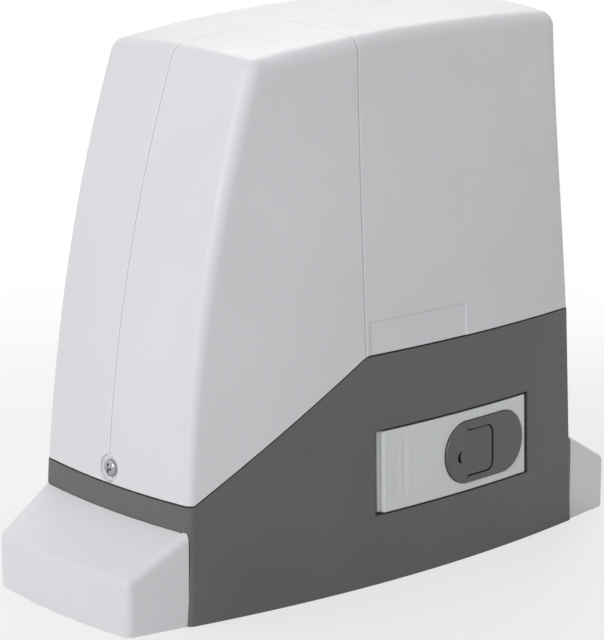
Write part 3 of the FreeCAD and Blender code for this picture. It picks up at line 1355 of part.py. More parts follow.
def build_base():
    shape_node("base_housing", base_shape())
    shape_node("gearcase_lid", lid_shape())
    shape_node("lid_gasket", gasket_shape())
    screws = []
    for number, (x, y) in enumerate(lid_screw_points()):
        screw = cap_screw("lid_screw_%d" % number, "lid_screw_radius * 1.75", "4", "lid_screw_radius - 0.05",
                          "lid_thickness + gasket_thickness + 10", (repr(x), repr(y), "high_rim"))
        screws.append(screw)
    node(group("lid_screw_set", *screws), "lid_screws")
    pin = turned_body("lever_pin_body", [("0", "pin_low"), ("pin_radius - 0.02", "pin_low"),
                      ("pin_radius - 0.02", "pin_high"), ("0", "pin_high")],
                     ("hinge_x", "lever_hinge_y", "0"))
    node(pin, "lever_hinge_pin")
    plug = cap_screw("oil_plug_body", "oil_plug_radius + 3", "4", "oil_plug_radius - 0.05", "lid_thickness",
                     ("oil_plug_x", "oil_plug_y", "high_rim"))
    node(plug, "oil_plug")
    collar = [("entry_radius", "0.2"), ("grommet_radius - 0.1", "0.2"), ("grommet_radius - 0.1", "base_floor"),
              ("grommet_radius + 2", "base_floor"), ("grommet_radius + 2", "base_floor + 2.5"),
              ("entry_radius", "base_floor + 2.5")]
    node(turned_body("cable_grommet_body", collar, ("entry_x", "0", "0")), "cable_grommet")
    for side, label in ((-1, "foot_cover_left"), (1, "foot_cover_right")):
        shape_node(label, foot_cover_shape(side))


def build_cover():
    shape_node("cover", cover_shape())
    screws = []
    nuts = []
    for side, along in ((-1, "-x"), (1, "x")):
        z = repr(rim_height(side) + v("screw_above_rim"))
        head = repr(side * (screw_axis_x(side) + 0.05))
        length = "cover_wall + tab_thickness + cover_fit + 8"
        screws.append(cap_screw("cover_screw_%s" % ("left" if side < 0 else "right"), "screw_head_radius",
                                "screw_head_height", "screw_radius", length, (head, "0", z), along))
        tab_back = tab_inner_x(side)
        nut = ring("cover_nut_%s" % ("left" if side < 0 else "right"), "screw_radius * 2", "screw_radius + 0.05",
                   "3.5", (repr(tab_back), "0", z), "x" if side < 0 else "-x")
        nuts.append(nut)
    node(group("cover_screw_pair", *screws), "cover_screws")
    node(group("cover_nut_pair", *nuts), "cover_nuts")


def tab_inner_x(side):
    """Inner face of the upright tab, a little clear of it."""
    return side * (tab_face(side) - v("tab_thickness") - 0.1)


def build_lever():
    shape_node("release_lever", lever_shape())
    shape_node("release_cam", cam_shape())
    shape_node("lock_escutcheon", escutcheon_shape())
    shape_node("key_shutter", shutter_shape())
    tube = [("plug_radius + plug_fit", "0"), ("barrel_radius", "0"), ("barrel_radius", "barrel_length"),
            ("plug_radius + plug_fit", "barrel_length")]
    node(turned_body("lock_barrel_body", tube, ("lock_x", "barrel_front", "lock_z"), "y"), "lock_barrel")
    nut = ring("lock_nut_body", "barrel_radius + 2.5", "barrel_radius + 0.05", "3",
               ("lock_x", "nut_front", "lock_z"), "y")
    node(nut, "lock_nut")
    length = "lock_cam_y - barrel_front"
    core = cylinder("plug_core", "plug_radius", length, ("lock_x", "barrel_front", "lock_z"), "y")
    keyway = block("keyway", ("1.6", "6", "7"), ("lock_x - 0.8", "barrel_front - 1", "lock_z - 3.5"))
    node(cut("lock_plug_body", core, keyway), "lock_plug")
    tongue = rectangle("lock_x - cam_width / 2", "lock_x + cam_reach", "lock_z - cam_width / 2",
                       "lock_z + cam_width / 2")
    cam = plate_body("lock_cam_body", "XZ_Plane", tongue, [], "lock_cam_y", "cam_thickness")
    round_edges(cam, "lock_cam_round", "cam_width / 2 - 0.5", along_axis(Vector(0, 1, 0)))
    node(cam, "lock_cam")


def build_release():
    rod = turned_body("release_rod_body", [("0", "0"), ("rod_radius", "0"), ("rod_radius", "58 - rod_front"),
                      ("0", "58 - rod_front")], ("hinge_x", "rod_front", "rod_z"), "y")
    round_edges(rod, "release_rod_nose", "rod_radius - 0.3", lambda edge: edge.BoundBox.ZMax < 0.5)
    node(rod, "release_rod")
    shape_node("release_fork", fork_shape())
    shape_node("clutch_dog", clutch_dog_shape())


def build_gear_train():
    shape_node("worm_wheel", worm_wheel_shape())
    shape_node("output_shaft", output_shaft_shape())
    shape_node("output_pinion", pinion_shape())
    start = v("dog_front") - 1
    shape_node("clutch_key", key_shape(v("clutch_key_width"), v("clutch_key_height"), start,
                                       start + v("dog_length") + 9))
    start = v("boss_back") + v("pinion_gap") + 2
    shape_node("pinion_key", key_shape(v("pinion_key_width"), v("pinion_key_height"), start,
                                       start + v("pinion_width") - 5))
    clip = ring("wheel_clip_body", "output_radius + 2.5", "output_radius - 1", "clip_width",
                at_shaft("clip_y"), "y")
    node(clip, "wheel_clip")
    front = bearing("front_bearing_body", "front_bearing_radius - 0.02", "output_front_radius + 0.02",
                    "front_bearing_width - 0.1", at_shaft("front_bearing_y + 0.05"), "y")
    node(front, "output_front_bearing")
    rear = bearing("rear_bearing_body", "rear_bearing_radius - 0.02", "output_radius + 0.02",
                   "rear_bearing_width - 0.1", at_shaft("rear_bearing_y + 0.05"), "y")
    node(rear, "output_rear_bearing")
    seal_start = "rear_bearing_y + rear_bearing_width + 0.1"
    seal_end = "boss_back - rear_bearing_y - rear_bearing_width - 0.4"
    seal = ring("shaft_seal_body", "seal_radius - 0.02", "output_radius + 0.05", seal_end,
                at_shaft(seal_start), "y")
    node(seal, "shaft_seal")
    end = "boss_back + pinion_gap + pinion_width"
    washer = ring("pinion_washer_body", "output_radius + 4", "pinion_bolt_radius + 0.2", "3",
                  at_shaft(end + " + 0.02"), "y")
    node(washer, "pinion_washer")
    bolt = cap_screw("pinion_bolt_body", "pinion_bolt_radius * 1.7", "5", "pinion_bolt_radius - 0.03", "20",
                     at_shaft(end + " + 3.05"), "y")
    node(bolt, "pinion_bolt")
    low = bearing("worm_bearing_low", "worm_bearing_radius - 0.02", "rotor_shaft_radius + 0.02",
                  "worm_bearing_width - 0.1", at_worm("worm_low_z + 0.05"))
    high = bearing("worm_bearing_high", "worm_bearing_radius - 0.02", "rotor_shaft_radius + 0.02",
                   "worm_bearing_width - 0.1", at_worm("worm_high_z + 0.05"))
    node(group("worm_bearing_pair", low, high), "worm_bearings")


def build_motor():
    shape_node("worm_shaft", worm_shaft_shape())
    flange = turned_body("motor_flange_body", [
        ("rotor_shaft_radius + 1", "high_rim"), ("motor_flange_radius", "high_rim"),
        ("motor_flange_radius", "high_rim + motor_flange_thickness - 1"),
        ("motor_flange_radius - 1", "high_rim + motor_flange_thickness"),
        ("can_radius - can_wall - 0.1", "high_rim + motor_flange_thickness"),
        ("can_radius - can_wall - 0.1", "can_bottom + 4"), ("rotor_shaft_radius + 1", "can_bottom + 4")],
        at_worm("0"))
    node(flange, "motor_flange")
    can = ring("motor_can_body", "can_radius", "can_radius - can_wall", "can_length", at_worm("can_bottom"))
    node(can, "motor_can")
    cap = turned_body("motor_cap_body", [
        ("rotor_shaft_radius + 1", "can_top - 4"), ("can_radius - can_wall - 0.1", "can_top - 4"),
        ("can_radius - can_wall - 0.1", "can_top"), ("can_radius", "can_top"),
        ("can_radius", "can_top + motor_cap_height - 4"), ("can_radius - 4", "can_top + motor_cap_height"),
        ("rotor_shaft_radius + 1", "can_top + motor_cap_height")], at_worm("0"))
    node(cap, "motor_cap")
    shell = ring("magnet_ring", "can_radius - can_wall - 0.05", "can_radius - can_wall - magnet_thickness",
                 "armature_length + 4", at_worm("magnet_bottom"))
    window = block("magnet_window", ("can_radius * 2", "24", "armature_length + 4"),
                   ("worm_x - can_radius", "worm_y - 12", "magnet_bottom"))
    node(cut("magnet_pair", shell, window), "motor_magnets")
    shape_node("armature", armature_shape())
    commutator = ring("commutator_body", "rotor_shaft_radius + 6", "rotor_shaft_radius", "12",
                      at_worm("magnet_bottom + armature_length + 7"))
    node(commutator, "commutator")
    brushes = []
    for side in (-1, 1):
        start = "worm_x + rotor_shaft_radius + 6.3" if side > 0 else "worm_x - rotor_shaft_radius - 6.3 - 14"
        brushes.append(block("brush_%d" % (side + 2), ("14", "6", "8"),
                             (start, "worm_y - 3", "magnet_bottom + armature_length + 9")))
    node(group("brush_pair", *brushes), "motor_brushes")
    disc = ring("encoder_disc_body", "14", "rotor_shaft_radius + 0.02", "2", at_worm("rotor_top - 5"))
    node(disc, "encoder_disc")
    sensor = cut("speed_sensor_body",
                 block("sensor_block", ("16", "12", "10.5"),
                       ("worm_x + 8", "worm_y - 6", "can_top + motor_cap_height")),
                 block("sensor_gap", ("10", "14", "4"), ("worm_x + 7", "worm_y - 7", "rotor_top - 6")))
    node(sensor, "speed_sensor")


def armature_shape():
    """Laminated core with twelve winding slots."""
    radius = v("armature_radius")
    bottom = v("magnet_bottom") + 2
    length = v("armature_length")
    core = rod_shape(radius, Vector(0, 0, bottom), Vector(0, 0, bottom + length))
    slots = int(v("winding_slots"))
    ring = radius - v("winding_slot_inset")
    for i in range(slots):
        angle = math.radians(360 / slots * i)
        spot = Vector(ring * math.cos(angle), ring * math.sin(angle), bottom)
        core = core.cut(rod_shape(v("winding_slot_radius"), spot, spot + Vector(0, 0, length)))
    core = core.cut(rod_shape(v("rotor_shaft_radius") + 0.01, Vector(0, 0, 0), Vector(0, 0, 2 * far)))
    core.translate(Vector(v("worm_x"), v("worm_y"), 0))
    return core


def build_electrics():
    left = "battery_right - battery_width"
    case = plate_body("battery_body", "XY_Plane",
                      rectangle(left, "battery_right", "-battery_depth / 2", "battery_depth / 2"), [],
                      "battery_bottom", "battery_length")
    round_edges(case, "battery_round", "2", lambda edge: True)
    node(case, "battery")
    tabs = [block("tab_%d" % i, ("6", "5", "0.8"), ("battery_right - battery_width / 2 - 3",
            "-battery_depth / 2 - 5.05", "battery_bottom + %d" % height))
            for i, height in enumerate((20, 128))]
    node(group("battery_tab_pair", *tabs), "battery_terminals")
    tray_left = left
    tray = block("tray_plate", ("board_length + 14", "board_width + 8", "tray_thickness"),
                 (tray_left, "-board_width / 2 - 4", "tray_bottom"))
    legs = [tray]
    for i, (x, y) in enumerate((("-22", "-34"), ("-22", "28"), ("20", "-34"), ("20", "28"))):
        legs.append(block("tray_leg_%d" % i, ("6", "6", "tray_bottom - high_rim - 0.05"),
                          (x, y, "high_rim + 0.05")))
    for i, (x, y) in enumerate(board_corners()):
        legs.append(cylinder("tray_post_%d" % i, "3", "board_standoff",
                             (x, y, "tray_bottom + tray_thickness")))
    node(fuse("tray_body", *legs), "controller_tray")
    board = block("board_plate", ("board_length", "board_width", "board_thickness"),
                  ("board_left", "-board_width / 2", "board_bottom + 0.02"))
    node(board, "control_board")
    top = "board_bottom + board_thickness + 0.04"
    strips = []
    for i, length in enumerate(("board_length * 0.7", "board_length * 0.45")):
        start = "-board_width / 2 + 1" if i == 0 else "board_width / 2 - 9"
        strips.append(block("strip_%d" % i, (length, "8", "12"), ("board_left + 6", start, top)))
    node(group("terminal_strips", *strips), "board_terminals")
    relays = [block("relay_%d" % i, ("19", "15", "15.5"),
                    ("board_left + %d" % (12 + 24 * i), "8", top)) for i in (0, 1)]
    node(group("relay_pair", *relays), "board_relays")
    node(cylinder("capacitor_body", "8", "26", ("board_left + board_length - 14", "10", top)),
         "board_capacitor")
    node(block("display_body", ("46", "22", "6"), ("board_left + board_length - 58", "-22", top)),
         "board_display")
    charger = plate_body("charger_body", "XY_Plane",
                         rectangle("charger_left", "charger_left + charger_length", "charger_front",
                                   "charger_front + charger_depth"), [], "high_rim + 0.05", "charger_height")
    round_edges(charger, "charger_round", "2", along_axis(Vector(0, 0, 1)))
    node(charger, "charger")


def board_corners():
    inset = 5
    xs = ("board_left + %d" % inset, "board_left + board_length - %d" % inset)
    ys = ("-board_width / 2 + %d" % inset, "board_width / 2 - %d" % inset)
    return [(x, y) for x in xs for y in ys]


def origin_sensor_shape():
    """Gate position sensor on the rear wall, above the pinion."""
    half = v("sensor_half_length")
    low = v("sensor_low")
    body = box_shape(v("wheel_x") - half, v("wheel_x") + half, v("rod_guide_front"), v("sensor_back"),
                     low, low + v("sensor_height"))
    back = [e for e in body.Edges if e.BoundBox.YMin > v("sensor_back") - 0.1]
    return body.makeFillet(v("sensor_round"), back).cut(base_form(-0.05, -1, v("high_rim") + 10))


build_base()
build_cover()
build_lever()
build_release()
build_gear_train()
build_motor()
build_electrics()
shape_node("origin_sensor", origin_sensor_shape())

doc.recompute()
for thing in doc.Objects:
    assert "Invalid" not in thing.State and "Error" not in thing.State, thing.Name
for thing in nodes:
    assert not thing.Shape.isNull() and thing.Shape.isValid(), thing.Label

for thing in nodes:
    thing.Shape.exportStep("parts/%s.step" % thing.Label)
    print("%-24s solids %d  volume %.0f" % (thing.Label, len(thing.Shape.Solids), thing.Shape.Volume))
print(len(nodes), "sub-parts")
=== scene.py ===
import json
import math

import bmesh
import bpy
import numpy as np
from mathutils import Matrix, Vector


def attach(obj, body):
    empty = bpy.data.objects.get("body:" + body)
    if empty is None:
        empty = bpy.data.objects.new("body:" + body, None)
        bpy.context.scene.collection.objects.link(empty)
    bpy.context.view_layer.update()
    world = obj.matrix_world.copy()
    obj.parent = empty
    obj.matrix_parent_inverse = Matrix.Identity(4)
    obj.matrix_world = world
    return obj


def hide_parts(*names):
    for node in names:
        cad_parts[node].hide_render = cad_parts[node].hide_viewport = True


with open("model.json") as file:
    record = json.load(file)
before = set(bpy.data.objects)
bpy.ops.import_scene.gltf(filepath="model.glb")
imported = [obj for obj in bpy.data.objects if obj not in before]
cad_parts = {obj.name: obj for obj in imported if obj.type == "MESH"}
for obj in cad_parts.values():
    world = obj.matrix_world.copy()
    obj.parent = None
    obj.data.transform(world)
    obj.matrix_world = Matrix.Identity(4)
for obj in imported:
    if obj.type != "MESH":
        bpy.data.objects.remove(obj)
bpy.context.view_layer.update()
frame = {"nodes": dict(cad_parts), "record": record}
nodes = frame["nodes"]
print("frame loaded:", len(nodes), "nodes")

cameraValues = {
    "turn": -41.381,        # degrees round the motor, 0 looks along +Y
    "height": 12.573,       # degrees above the floor
    "distance": 1.5081,     # metres from the aimed point
    "roll": 0.33,           # degrees
    "aim": (-0.0111, 0.0, 0.1536),
    "lens": 156.65,         # mm, with the sensor's width along the picture's longer side
    "sensor": 36.0,
    "shift": (0.0, -0.0689),
    "clipEnd": 50.0,
}


def placeCamera(values):
    # The camera sits on a sphere round the aimed point and looks at it, then rolls about its own axis.
    turn, rise, roll = (math.radians(values[key]) for key in ("turn", "height", "roll"))
    back = Vector((math.sin(turn) * math.cos(rise), -math.cos(turn) * math.cos(rise), math.sin(rise)))
    right = (-back).cross(Vector((0, 0, 1))).normalized()
    up = right.cross(-back)
    rolledRight = right * math.cos(roll) + up * math.sin(roll)
    rolledUp = up * math.cos(roll) - right * math.sin(roll)
    data = bpy.data.cameras.new("studioCamera")
    data.lens = values["lens"]
    data.sensor_width = values["sensor"]
    data.shift_x, data.shift_y = values["shift"]
    data.clip_end = values["clipEnd"]
    camera = bpy.data.objects.new("studioCamera", data)
    bpy.context.scene.collection.objects.link(camera)
    facing = Matrix((rolledRight, rolledUp, back)).transposed().to_4x4()
    camera.matrix_world = Matrix.Translation(Vector(values["aim"]) + back * values["distance"]) @ facing
    bpy.context.scene.camera = camera


placeCamera(cameraValues)
print("camera placed")

# Shader nodes

plainWhite = (1.0, 1.0, 1.0, 1.0)


def setInputs(tree, node, inputs):
    # An input is linked when its value is a socket, and set otherwise.
    for name, value in inputs.items():
        if isinstance(value, bpy.types.NodeSocket):
            tree.links.new(value, node.inputs[name])
        else:
            node.inputs[name].default_value = value


def addNode(tree, kind, inputs, **settings):
    node = tree.nodes.new("ShaderNode" + kind)
    for name, value in settings.items():
        setattr(node, name, value)
    setInputs(tree, node, inputs)
    return node


def newFinish(name):
    finish = bpy.data.materials.new(name)
    finish.use_nodes = True
    return finish, finish.node_tree, finish.node_tree.nodes["Principled BSDF"]


def objectPlace(tree):
    return addNode(tree, "TexCoord", {}).outputs["Object"]


def mathOf(tree, operation, first, second):
    return addNode(tree, "Math", {0: first, 1: second}, operation=operation).outputs[0]


def rangeOf(tree, source, low, high, first=0.3, last=0.7, curve="LINEAR"):
    # From low to high while the source goes from first to last.
    inputs = {"Value": source, "From Min": first, "From Max": last, "To Min": low, "To Max": high}
    return addNode(tree, "MapRange", inputs, interpolation_type=curve).outputs["Result"]


def noiseAt(tree, place, scale, detail):
    return addNode(tree, "TexNoise", {"Vector": place, "Scale": scale, "Detail": detail}).outputs["Fac"]


def toneOf(tree, source, color, stops):
    # The colour made darker or lighter along the source; each stop is a spot and a share of the colour.
    ramp = addNode(tree, "ValToRGB", {"Fac": source})
    elements = ramp.color_ramp.elements
    while len(elements) < len(stops):
        elements.new(0.5)
    for element, (spot, share) in zip(elements, stops):
        element.position = spot
        element.color = (*(min(1.0, part * share) for part in color), 1)
    return ramp.outputs["Color"]


def bumpOf(tree, heights):
    # Several height maps, each with its own strength and depth, laid one on another.
    normal = None
    for source, strength, distance in heights:
        inputs = {"Height": source, "Strength": strength, "Distance": distance}
        if normal is not None:
            inputs["Normal"] = normal
        normal = addNode(tree, "Bump", inputs).outputs["Normal"]
    return normal


# Studio

studioValues = {
    "floorColor": (0.86, 0.86, 0.86),
    "floorRough": 0.9, "floorGloss": 0.1,
    "floorHalf": 6.0,
    "shadow": (0.25, 0.75),  # metres from the middle: where the shadow starts to fade and is gone
    "shadowWhite": 0.6,     # how much plain white is laid over the shadow
    "skyStrength": 0.39,
    "lamps": (
        # name, place, aim, side, watts
        ("lampLeft", (-4.85, -1.3, 2.0), (0, 0, 0.15), 1.2, 104.0),
        ("lampTop", (-0.2, 0.1, 2.6), (0, 0, 0.2), 2.0, 12.4),
        ("lampBack", (1.5, 1.6, 2.1), (0, 0, 0.25), 1.4, 21.9),
    ),
}


def addLamp(name, place, aim, side, watts):
    data = bpy.data.lights.new(name, "AREA")
    data.shape = "RECTANGLE"
    data.size, data.size_y = side, side
    data.energy = watts
    lamp = bpy.data.objects.new(name, data)
    bpy.context.scene.collection.objects.link(lamp)
    lamp.location = place
    lamp.rotation_euler = (Vector(aim) - Vector(place)).to_track_quat("-Z", "Y").to_euler()


def seenRay(tree):
    # One for rays that see the background directly, in a reflection or through glass.
    path = addNode(tree, "LightPath", {})
    mirrored = mathOf(tree, "MAXIMUM", path.outputs["Is Camera Ray"], path.outputs["Is Glossy Ray"])
    return mathOf(tree, "MAXIMUM", mirrored, path.outputs["Is Transmission Ray"])


def floorPaper(values):
    # Pale paper: near the motor it shows the shadow, further out it is seen as plain white.
    finish, tree, paper = newFinish("studioFloorPaper")
    setInputs(tree, paper, {"Base Color": (*values["floorColor"], 1), "Roughness": values["floorRough"],
                            "Specular IOR Level": values["floorGloss"]})
    white = addNode(tree, "Emission", {"Color": plainWhite, "Strength": 1.0})
    reach = addNode(tree, "VectorMath", {0: objectPlace(tree)}, operation="LENGTH").outputs["Value"]
    fade = rangeOf(tree, reach, values["shadowWhite"], 1.0, *values["shadow"], "SMOOTHSTEP")
    share = mathOf(tree, "MULTIPLY", seenRay(tree), fade)
    mix = addNode(tree, "MixShader", {0: share, 1: paper.outputs[0], 2: white.outputs[0]})
    setInputs(tree, tree.nodes["Material Output"], {"Surface": mix.outputs[0]})
    return finish


def lightWorld(values):
    # Even light from all round, which is seen as plain white.
    world = bpy.data.worlds.new("studioWorld")
    bpy.context.scene.world = world
    world.use_nodes = True
    tree = world.node_tree
    tree.nodes.clear()
    sky = addNode(tree, "Background", {"Color": plainWhite, "Strength": values["skyStrength"]})
    white = addNode(tree, "Background", {"Color": plainWhite, "Strength": 1.0})
    mix = addNode(tree, "MixShader", {0: seenRay(tree), 1: sky.outputs[0], 2: white.outputs[0]})
    addNode(tree, "OutputWorld", {0: mix.outputs[0]})


def buildStudio(values):
    # The floor is a plain square; it only keeps the shadow.
    lightWorld(values)
    half = values["floorHalf"]
    corners = [(-half, -half, 0), (half, -half, 0), (half, half, 0), (-half, half, 0)]
    mesh = bpy.data.meshes.new("studioFloor")
    mesh.from_pydata(corners, [], [(0, 1, 2, 3)])
    mesh.materials.append(floorPaper(values))
    floor = bpy.data.objects.new("studioFloor", mesh)
    bpy.context.scene.collection.objects.link(floor)
    for lamp in values["lamps"]:
        addLamp(*lamp)
    bpy.context.scene.view_settings.view_transform = "Standard"


buildStudio(studioValues)
print("studio lit")

# Finishes. Noises are (scale, detail), bumps are (strength, metres), tones are (spot, share of the
# colour) and roughness goes from one value to another.

mouldedValues = {
    "toneNoise": (9.0, 4.0), "tones": ((0.3, 0.97), (0.7, 1.03)),
    "waveNoise": (60.0, 2.0), "waveBump": (0.15, 0.00009),
    "grainDetail": 2.0, "grainBump": (0.35, 0.00003),
}
castValues = {
    "toneNoise": (14.0, 5.0), "tones": ((0.25, 0.93), (0.75, 1.06)),
    "peelNoise": (900.0, 2.0), "peelBump": (0.4, 0.00006),
    "sandNoise": (3200.0, 2.0), "sandBump": (0.3, 0.00003),
    "specular": 0.4,
}
metalValues = {
    "toneNoise": (40.0, 4.0), "tones": ((0.3, 0.88), (0.7, 1.08)),
    "lineNoise": (1.0, 3.0), "lineBump": (0.2, 0.00003),
}
# Painted shade along the cover's mould seams, with a painted highlight line beside each, standing in for the
# shaded and lit sides of a small step.
paintedSeamShadeValues = {
    # the axis across and its mark, the axis along and where the line fades out on it, in metres
    "lines": (("Y", 0.0, "X", 0.2, 0.21), ("X", -0.0285, "Y", -0.0001, 0.0001)),
    "half": 0.00046,        # from the middle of the painted shade line to its edge
    "core": 0.4,            # share of it that is painted fully dark
    "lip": 0.00075,         # how far beside it the painted highlight line runs
    # stops: painted shade down to 0.66, the plain tone's spread, painted highlight up to 1.13
    "tones": ((0.0, 0.66), (0.3, 0.97), (0.7, 1.03), (1.0, 1.13)),
}


def seamMark(tree, place, line, values, shift):
    # One where the coordinate across is nearly at its mark and the one along is before its end.
    across, mark, along, full, gone = line
    split = addNode(tree, "SeparateXYZ", {0: place})
    offset = mathOf(tree, "SUBTRACT", split.outputs[across], mark + shift)
    size = mathOf(tree, "ABSOLUTE", offset, 0.0)
    near = rangeOf(tree, size, 1.0, 0.0, values["half"] * values["core"], values["half"])
    reach = rangeOf(tree, split.outputs[along], 1.0, 0.0, full, gone)
    return mathOf(tree, "MULTIPLY", near, reach)


def paintedSeamShadeAndHighlight(tree, place, tone, values):
    # Painted shade: the tone falls along every seam. Painted highlight: it rises along a line just beside it.
    for operation, shift in (("SUBTRACT", 0.0), ("ADD", values["lip"])):
        marks = [seamMark(tree, place, line, values, shift) for line in values["lines"]]
        joined = marks[0]
        for mark in marks[1:]:
            joined = mathOf(tree, "MAXIMUM", joined, mark)
        tone = mathOf(tree, operation, tone, joined)
    return tone


def mouldedFinish(name, color, rough=(0.42, 0.52), grain=2600.0, specular=0.5, seamShading=None):
    # Moulded plastic: a slow change of tone, a fine spark-eroded grain and a slightly uneven gloss.
    values = mouldedValues
    finish, tree, shader = newFinish(name)
    place = objectPlace(tree)
    tone = noiseAt(tree, place, *values["toneNoise"])
    wave = noiseAt(tree, place, *values["waveNoise"])
    fine = noiseAt(tree, place, grain, values["grainDetail"])
    # With seam shading, a painted shade line and a painted highlight line are laid along the mould seams.
    if seamShading:
        tone = paintedSeamShadeAndHighlight(tree, place, tone, seamShading)
    setInputs(tree, shader, {
        "Base Color": toneOf(tree, tone, color, (seamShading or values)["tones"]),
        "Roughness": rangeOf(tree, wave, *rough),
        "Normal": bumpOf(tree, ((fine, *values["grainBump"]), (wave, *values["waveBump"]))),
        "Specular IOR Level": specular,
    })
    return finish


def castFinish(name, color, rough=(0.5, 0.68)):
    # Painted die casting: an orange-peel swell and a fine sand grain.
    values = castValues
    finish, tree, shader = newFinish(name)
    place = objectPlace(tree)
    peel = noiseAt(tree, place, *values["peelNoise"])
    sand = noiseAt(tree, place, *values["sandNoise"])
    setInputs(tree, shader, {
        "Base Color": toneOf(tree, noiseAt(tree, place, *values["toneNoise"]), color, values["tones"]),
        "Roughness": rangeOf(tree, peel, *rough),
        "Normal": bumpOf(tree, ((peel, *values["peelBump"]), (sand, *values["sandBump"]))),
        "Specular IOR Level": values["specular"],
    })
    return finish


def metalFinish(name, color, rough=(0.22, 0.38), stretch=(60.0, 60.0, 2400.0)):
    # Turned or ground metal: fine lines from a noise squeezed along one way.
    values = metalValues
    finish, tree, shader = newFinish(name)
    place = objectPlace(tree)
    squeezed = addNode(tree, "Mapping", {"Vector": place, "Scale": stretch}).outputs["Vector"]
    lines = noiseAt(tree, squeezed, *values["lineNoise"])
    setInputs(tree, shader, {
        "Base Color": toneOf(tree, noiseAt(tree, place, *values["toneNoise"]), color, values["tones"]),
        "Roughness": rangeOf(tree, lines, *rough),
        "Normal": bumpOf(tree, ((lines, *values["lineBump"]),)),
        "Metallic": 1.0,
    })
    return finish


shellColor = (0.768, 0.764, 0.796)
finishes = {
    "cast": castFinish("castDarkGrey", (0.131, 0.140, 0.131)),
    "shell": mouldedFinish("shellLightGrey", shellColor),
    "lever": mouldedFinish("leverLightGrey", (0.745, 0.765, 0.775)),
    "lock_trim": mouldedFinish("lockDarkGrey", (0.095, 0.1, 0.1), rough=(0.35, 0.45)),
    "steel": metalFinish("groundSteel", (0.56, 0.56, 0.57)),
    "zinc": metalFinish("zincPlate", (0.72, 0.73, 0.75), rough=(0.15, 0.3)),
    "bronze": metalFinish("wheelBronze", (0.62, 0.42, 0.18)),
    "brass": metalFinish("turnedBrass", (0.72, 0.55, 0.25)),
    "copper": metalFinish("barCopper", (0.72, 0.38, 0.22)),
    "rubber": mouldedFinish("blackRubber", (0.025, 0.025, 0.025), rough=(0.6, 0.75), specular=0.3),
    "paper": mouldedFinish("gasketFibre", (0.20, 0.18, 0.14), rough=(0.8, 0.9), grain=900.0, specular=0.2),
    "motor_paint": castFinish("canBlack", (0.035, 0.035, 0.04), rough=(0.35, 0.5)),
    "magnet": castFinish("ferriteGrey", (0.07, 0.07, 0.075)),
    "core": metalFinish("laminatedCore", (0.35, 0.35, 0.36), rough=(0.35, 0.55), stretch=(4.0, 4.0, 3000.0)),
    "battery_case": mouldedFinish("batteryBlack", (0.04, 0.04, 0.045)),
    "tray": mouldedFinish("trayBlack", (0.06, 0.06, 0.062)),
    "pcb": mouldedFinish("boardGreen", (0.02, 0.14, 0.06), rough=(0.25, 0.35), grain=1200.0),
    "component": mouldedFinish("componentBlack", (0.03, 0.03, 0.032), rough=(0.3, 0.42)),
    "terminal": mouldedFinish("terminalGreen", (0.03, 0.24, 0.10), rough=(0.3, 0.42)),
    "display": mouldedFinish("displayGrey", (0.25, 0.30, 0.25), rough=(0.1, 0.2)),
    "charger": metalFinish("pressedAluminium", (0.75, 0.75, 0.76), rough=(0.35, 0.5)),
}

slotOf = {entry["node"]: entry["material_slot"] for entry in frame["record"]["subparts"]}
for name, node in nodes.items():
    node.data.materials.clear()
    node.data.materials.append(finishes[slotOf[name]])
print("finishes laid on", len(nodes), "nodes")

# Tools for the shells. Lengths are in millimetres until they become meshes.

mm = 0.001
weldDistance = 0.00001      # metres
sharpAngle = 28.0           # degrees from which an edge is shaded as sharp
turnSteps = 48
onAxis = 0.001              # radius at the ends of a turned outline


def unit(rows):
    return rows / np.linalg.norm(rows, axis=-1, keepdims=True)


def meshPiece(name, points, faces):
    # Welds what coincides and turns every face outwards.
    mesh = bpy.data.meshes.new(name)
    mesh.from_pydata((np.asarray(points) * mm).tolist(), [], [tuple(face) for face in faces])
    work = bmesh.new()
    work.from_mesh(mesh)
    bmesh.ops.remove_doubles(work, verts=work.verts, dist=weldDistance)
    bmesh.ops.recalc_face_normals(work, faces=work.faces)
    work.to_mesh(mesh)
    work.free()
    piece = bpy.data.objects.new(name, mesh)
    bpy.context.scene.collection.objects.link(piece)
    return piece


def gridFaces(rows, columns, closed):
    # Quads between neighbouring rows of points; a closed grid joins its last column to the first.
    first = np.arange(rows - 1)[:, None] * columns
    near = np.arange(columns if closed else columns - 1)[None, :]
    far = (near + 1) % columns
    quads = np.stack([first + near, first + far, first + columns + far, first + columns + near], axis=-1)
    return quads.reshape(-1, 4)


def closedShell(outer, inner, rows, columns):
    # Two like grids of points, one inside the other, joined round their border.
    grid = np.arange(rows * columns).reshape(rows, columns)
    loop = np.concatenate([grid[0, :], grid[1:, -1], grid[-1, -2::-1], grid[-2:0:-1, 0]])
    after = np.roll(loop, -1)
    sheet = gridFaces(rows, columns, False)
    rim = np.column_stack([loop, after, after + len(outer), loop + len(outer)])
    return np.concatenate([outer, inner]), np.concatenate([sheet, sheet[:, ::-1] + len(outer), rim])


def bakeModifiers(piece):
    graph = bpy.context.evaluated_depsgraph_get()
    mesh = bpy.data.meshes.new_from_object(piece.evaluated_get(graph))
    piece.modifiers.clear()
    piece.data = mesh


def thicken(piece, wall):
    # Adds the wall on the inside.
    shell = piece.modifiers.new("wall", "SOLIDIFY")
    shell.thickness = wall * mm
    shell.offset = -1
    shell.use_even_offset = True
    bakeModifiers(piece)


def carve(piece, cutters, operation="DIFFERENCE"):
    for cutter in cutters:
        cut = piece.modifiers.new("cut", "BOOLEAN")
        cut.operation = operation
        cut.object = cutter
        cut.solver = "EXACT"
    bakeModifiers(piece)
    for cutter in cutters:
        bpy.data.objects.remove(cutter)


def smoothPiece(piece, finish):
    mesh = piece.data
    mesh.materials.clear()
    mesh.materials.append(finish)
    mesh.polygons.foreach_set("use_smooth", np.ones(len(mesh.polygons), dtype=bool))
    mesh.set_sharp_from_angle(angle=math.radians(sharpAngle))


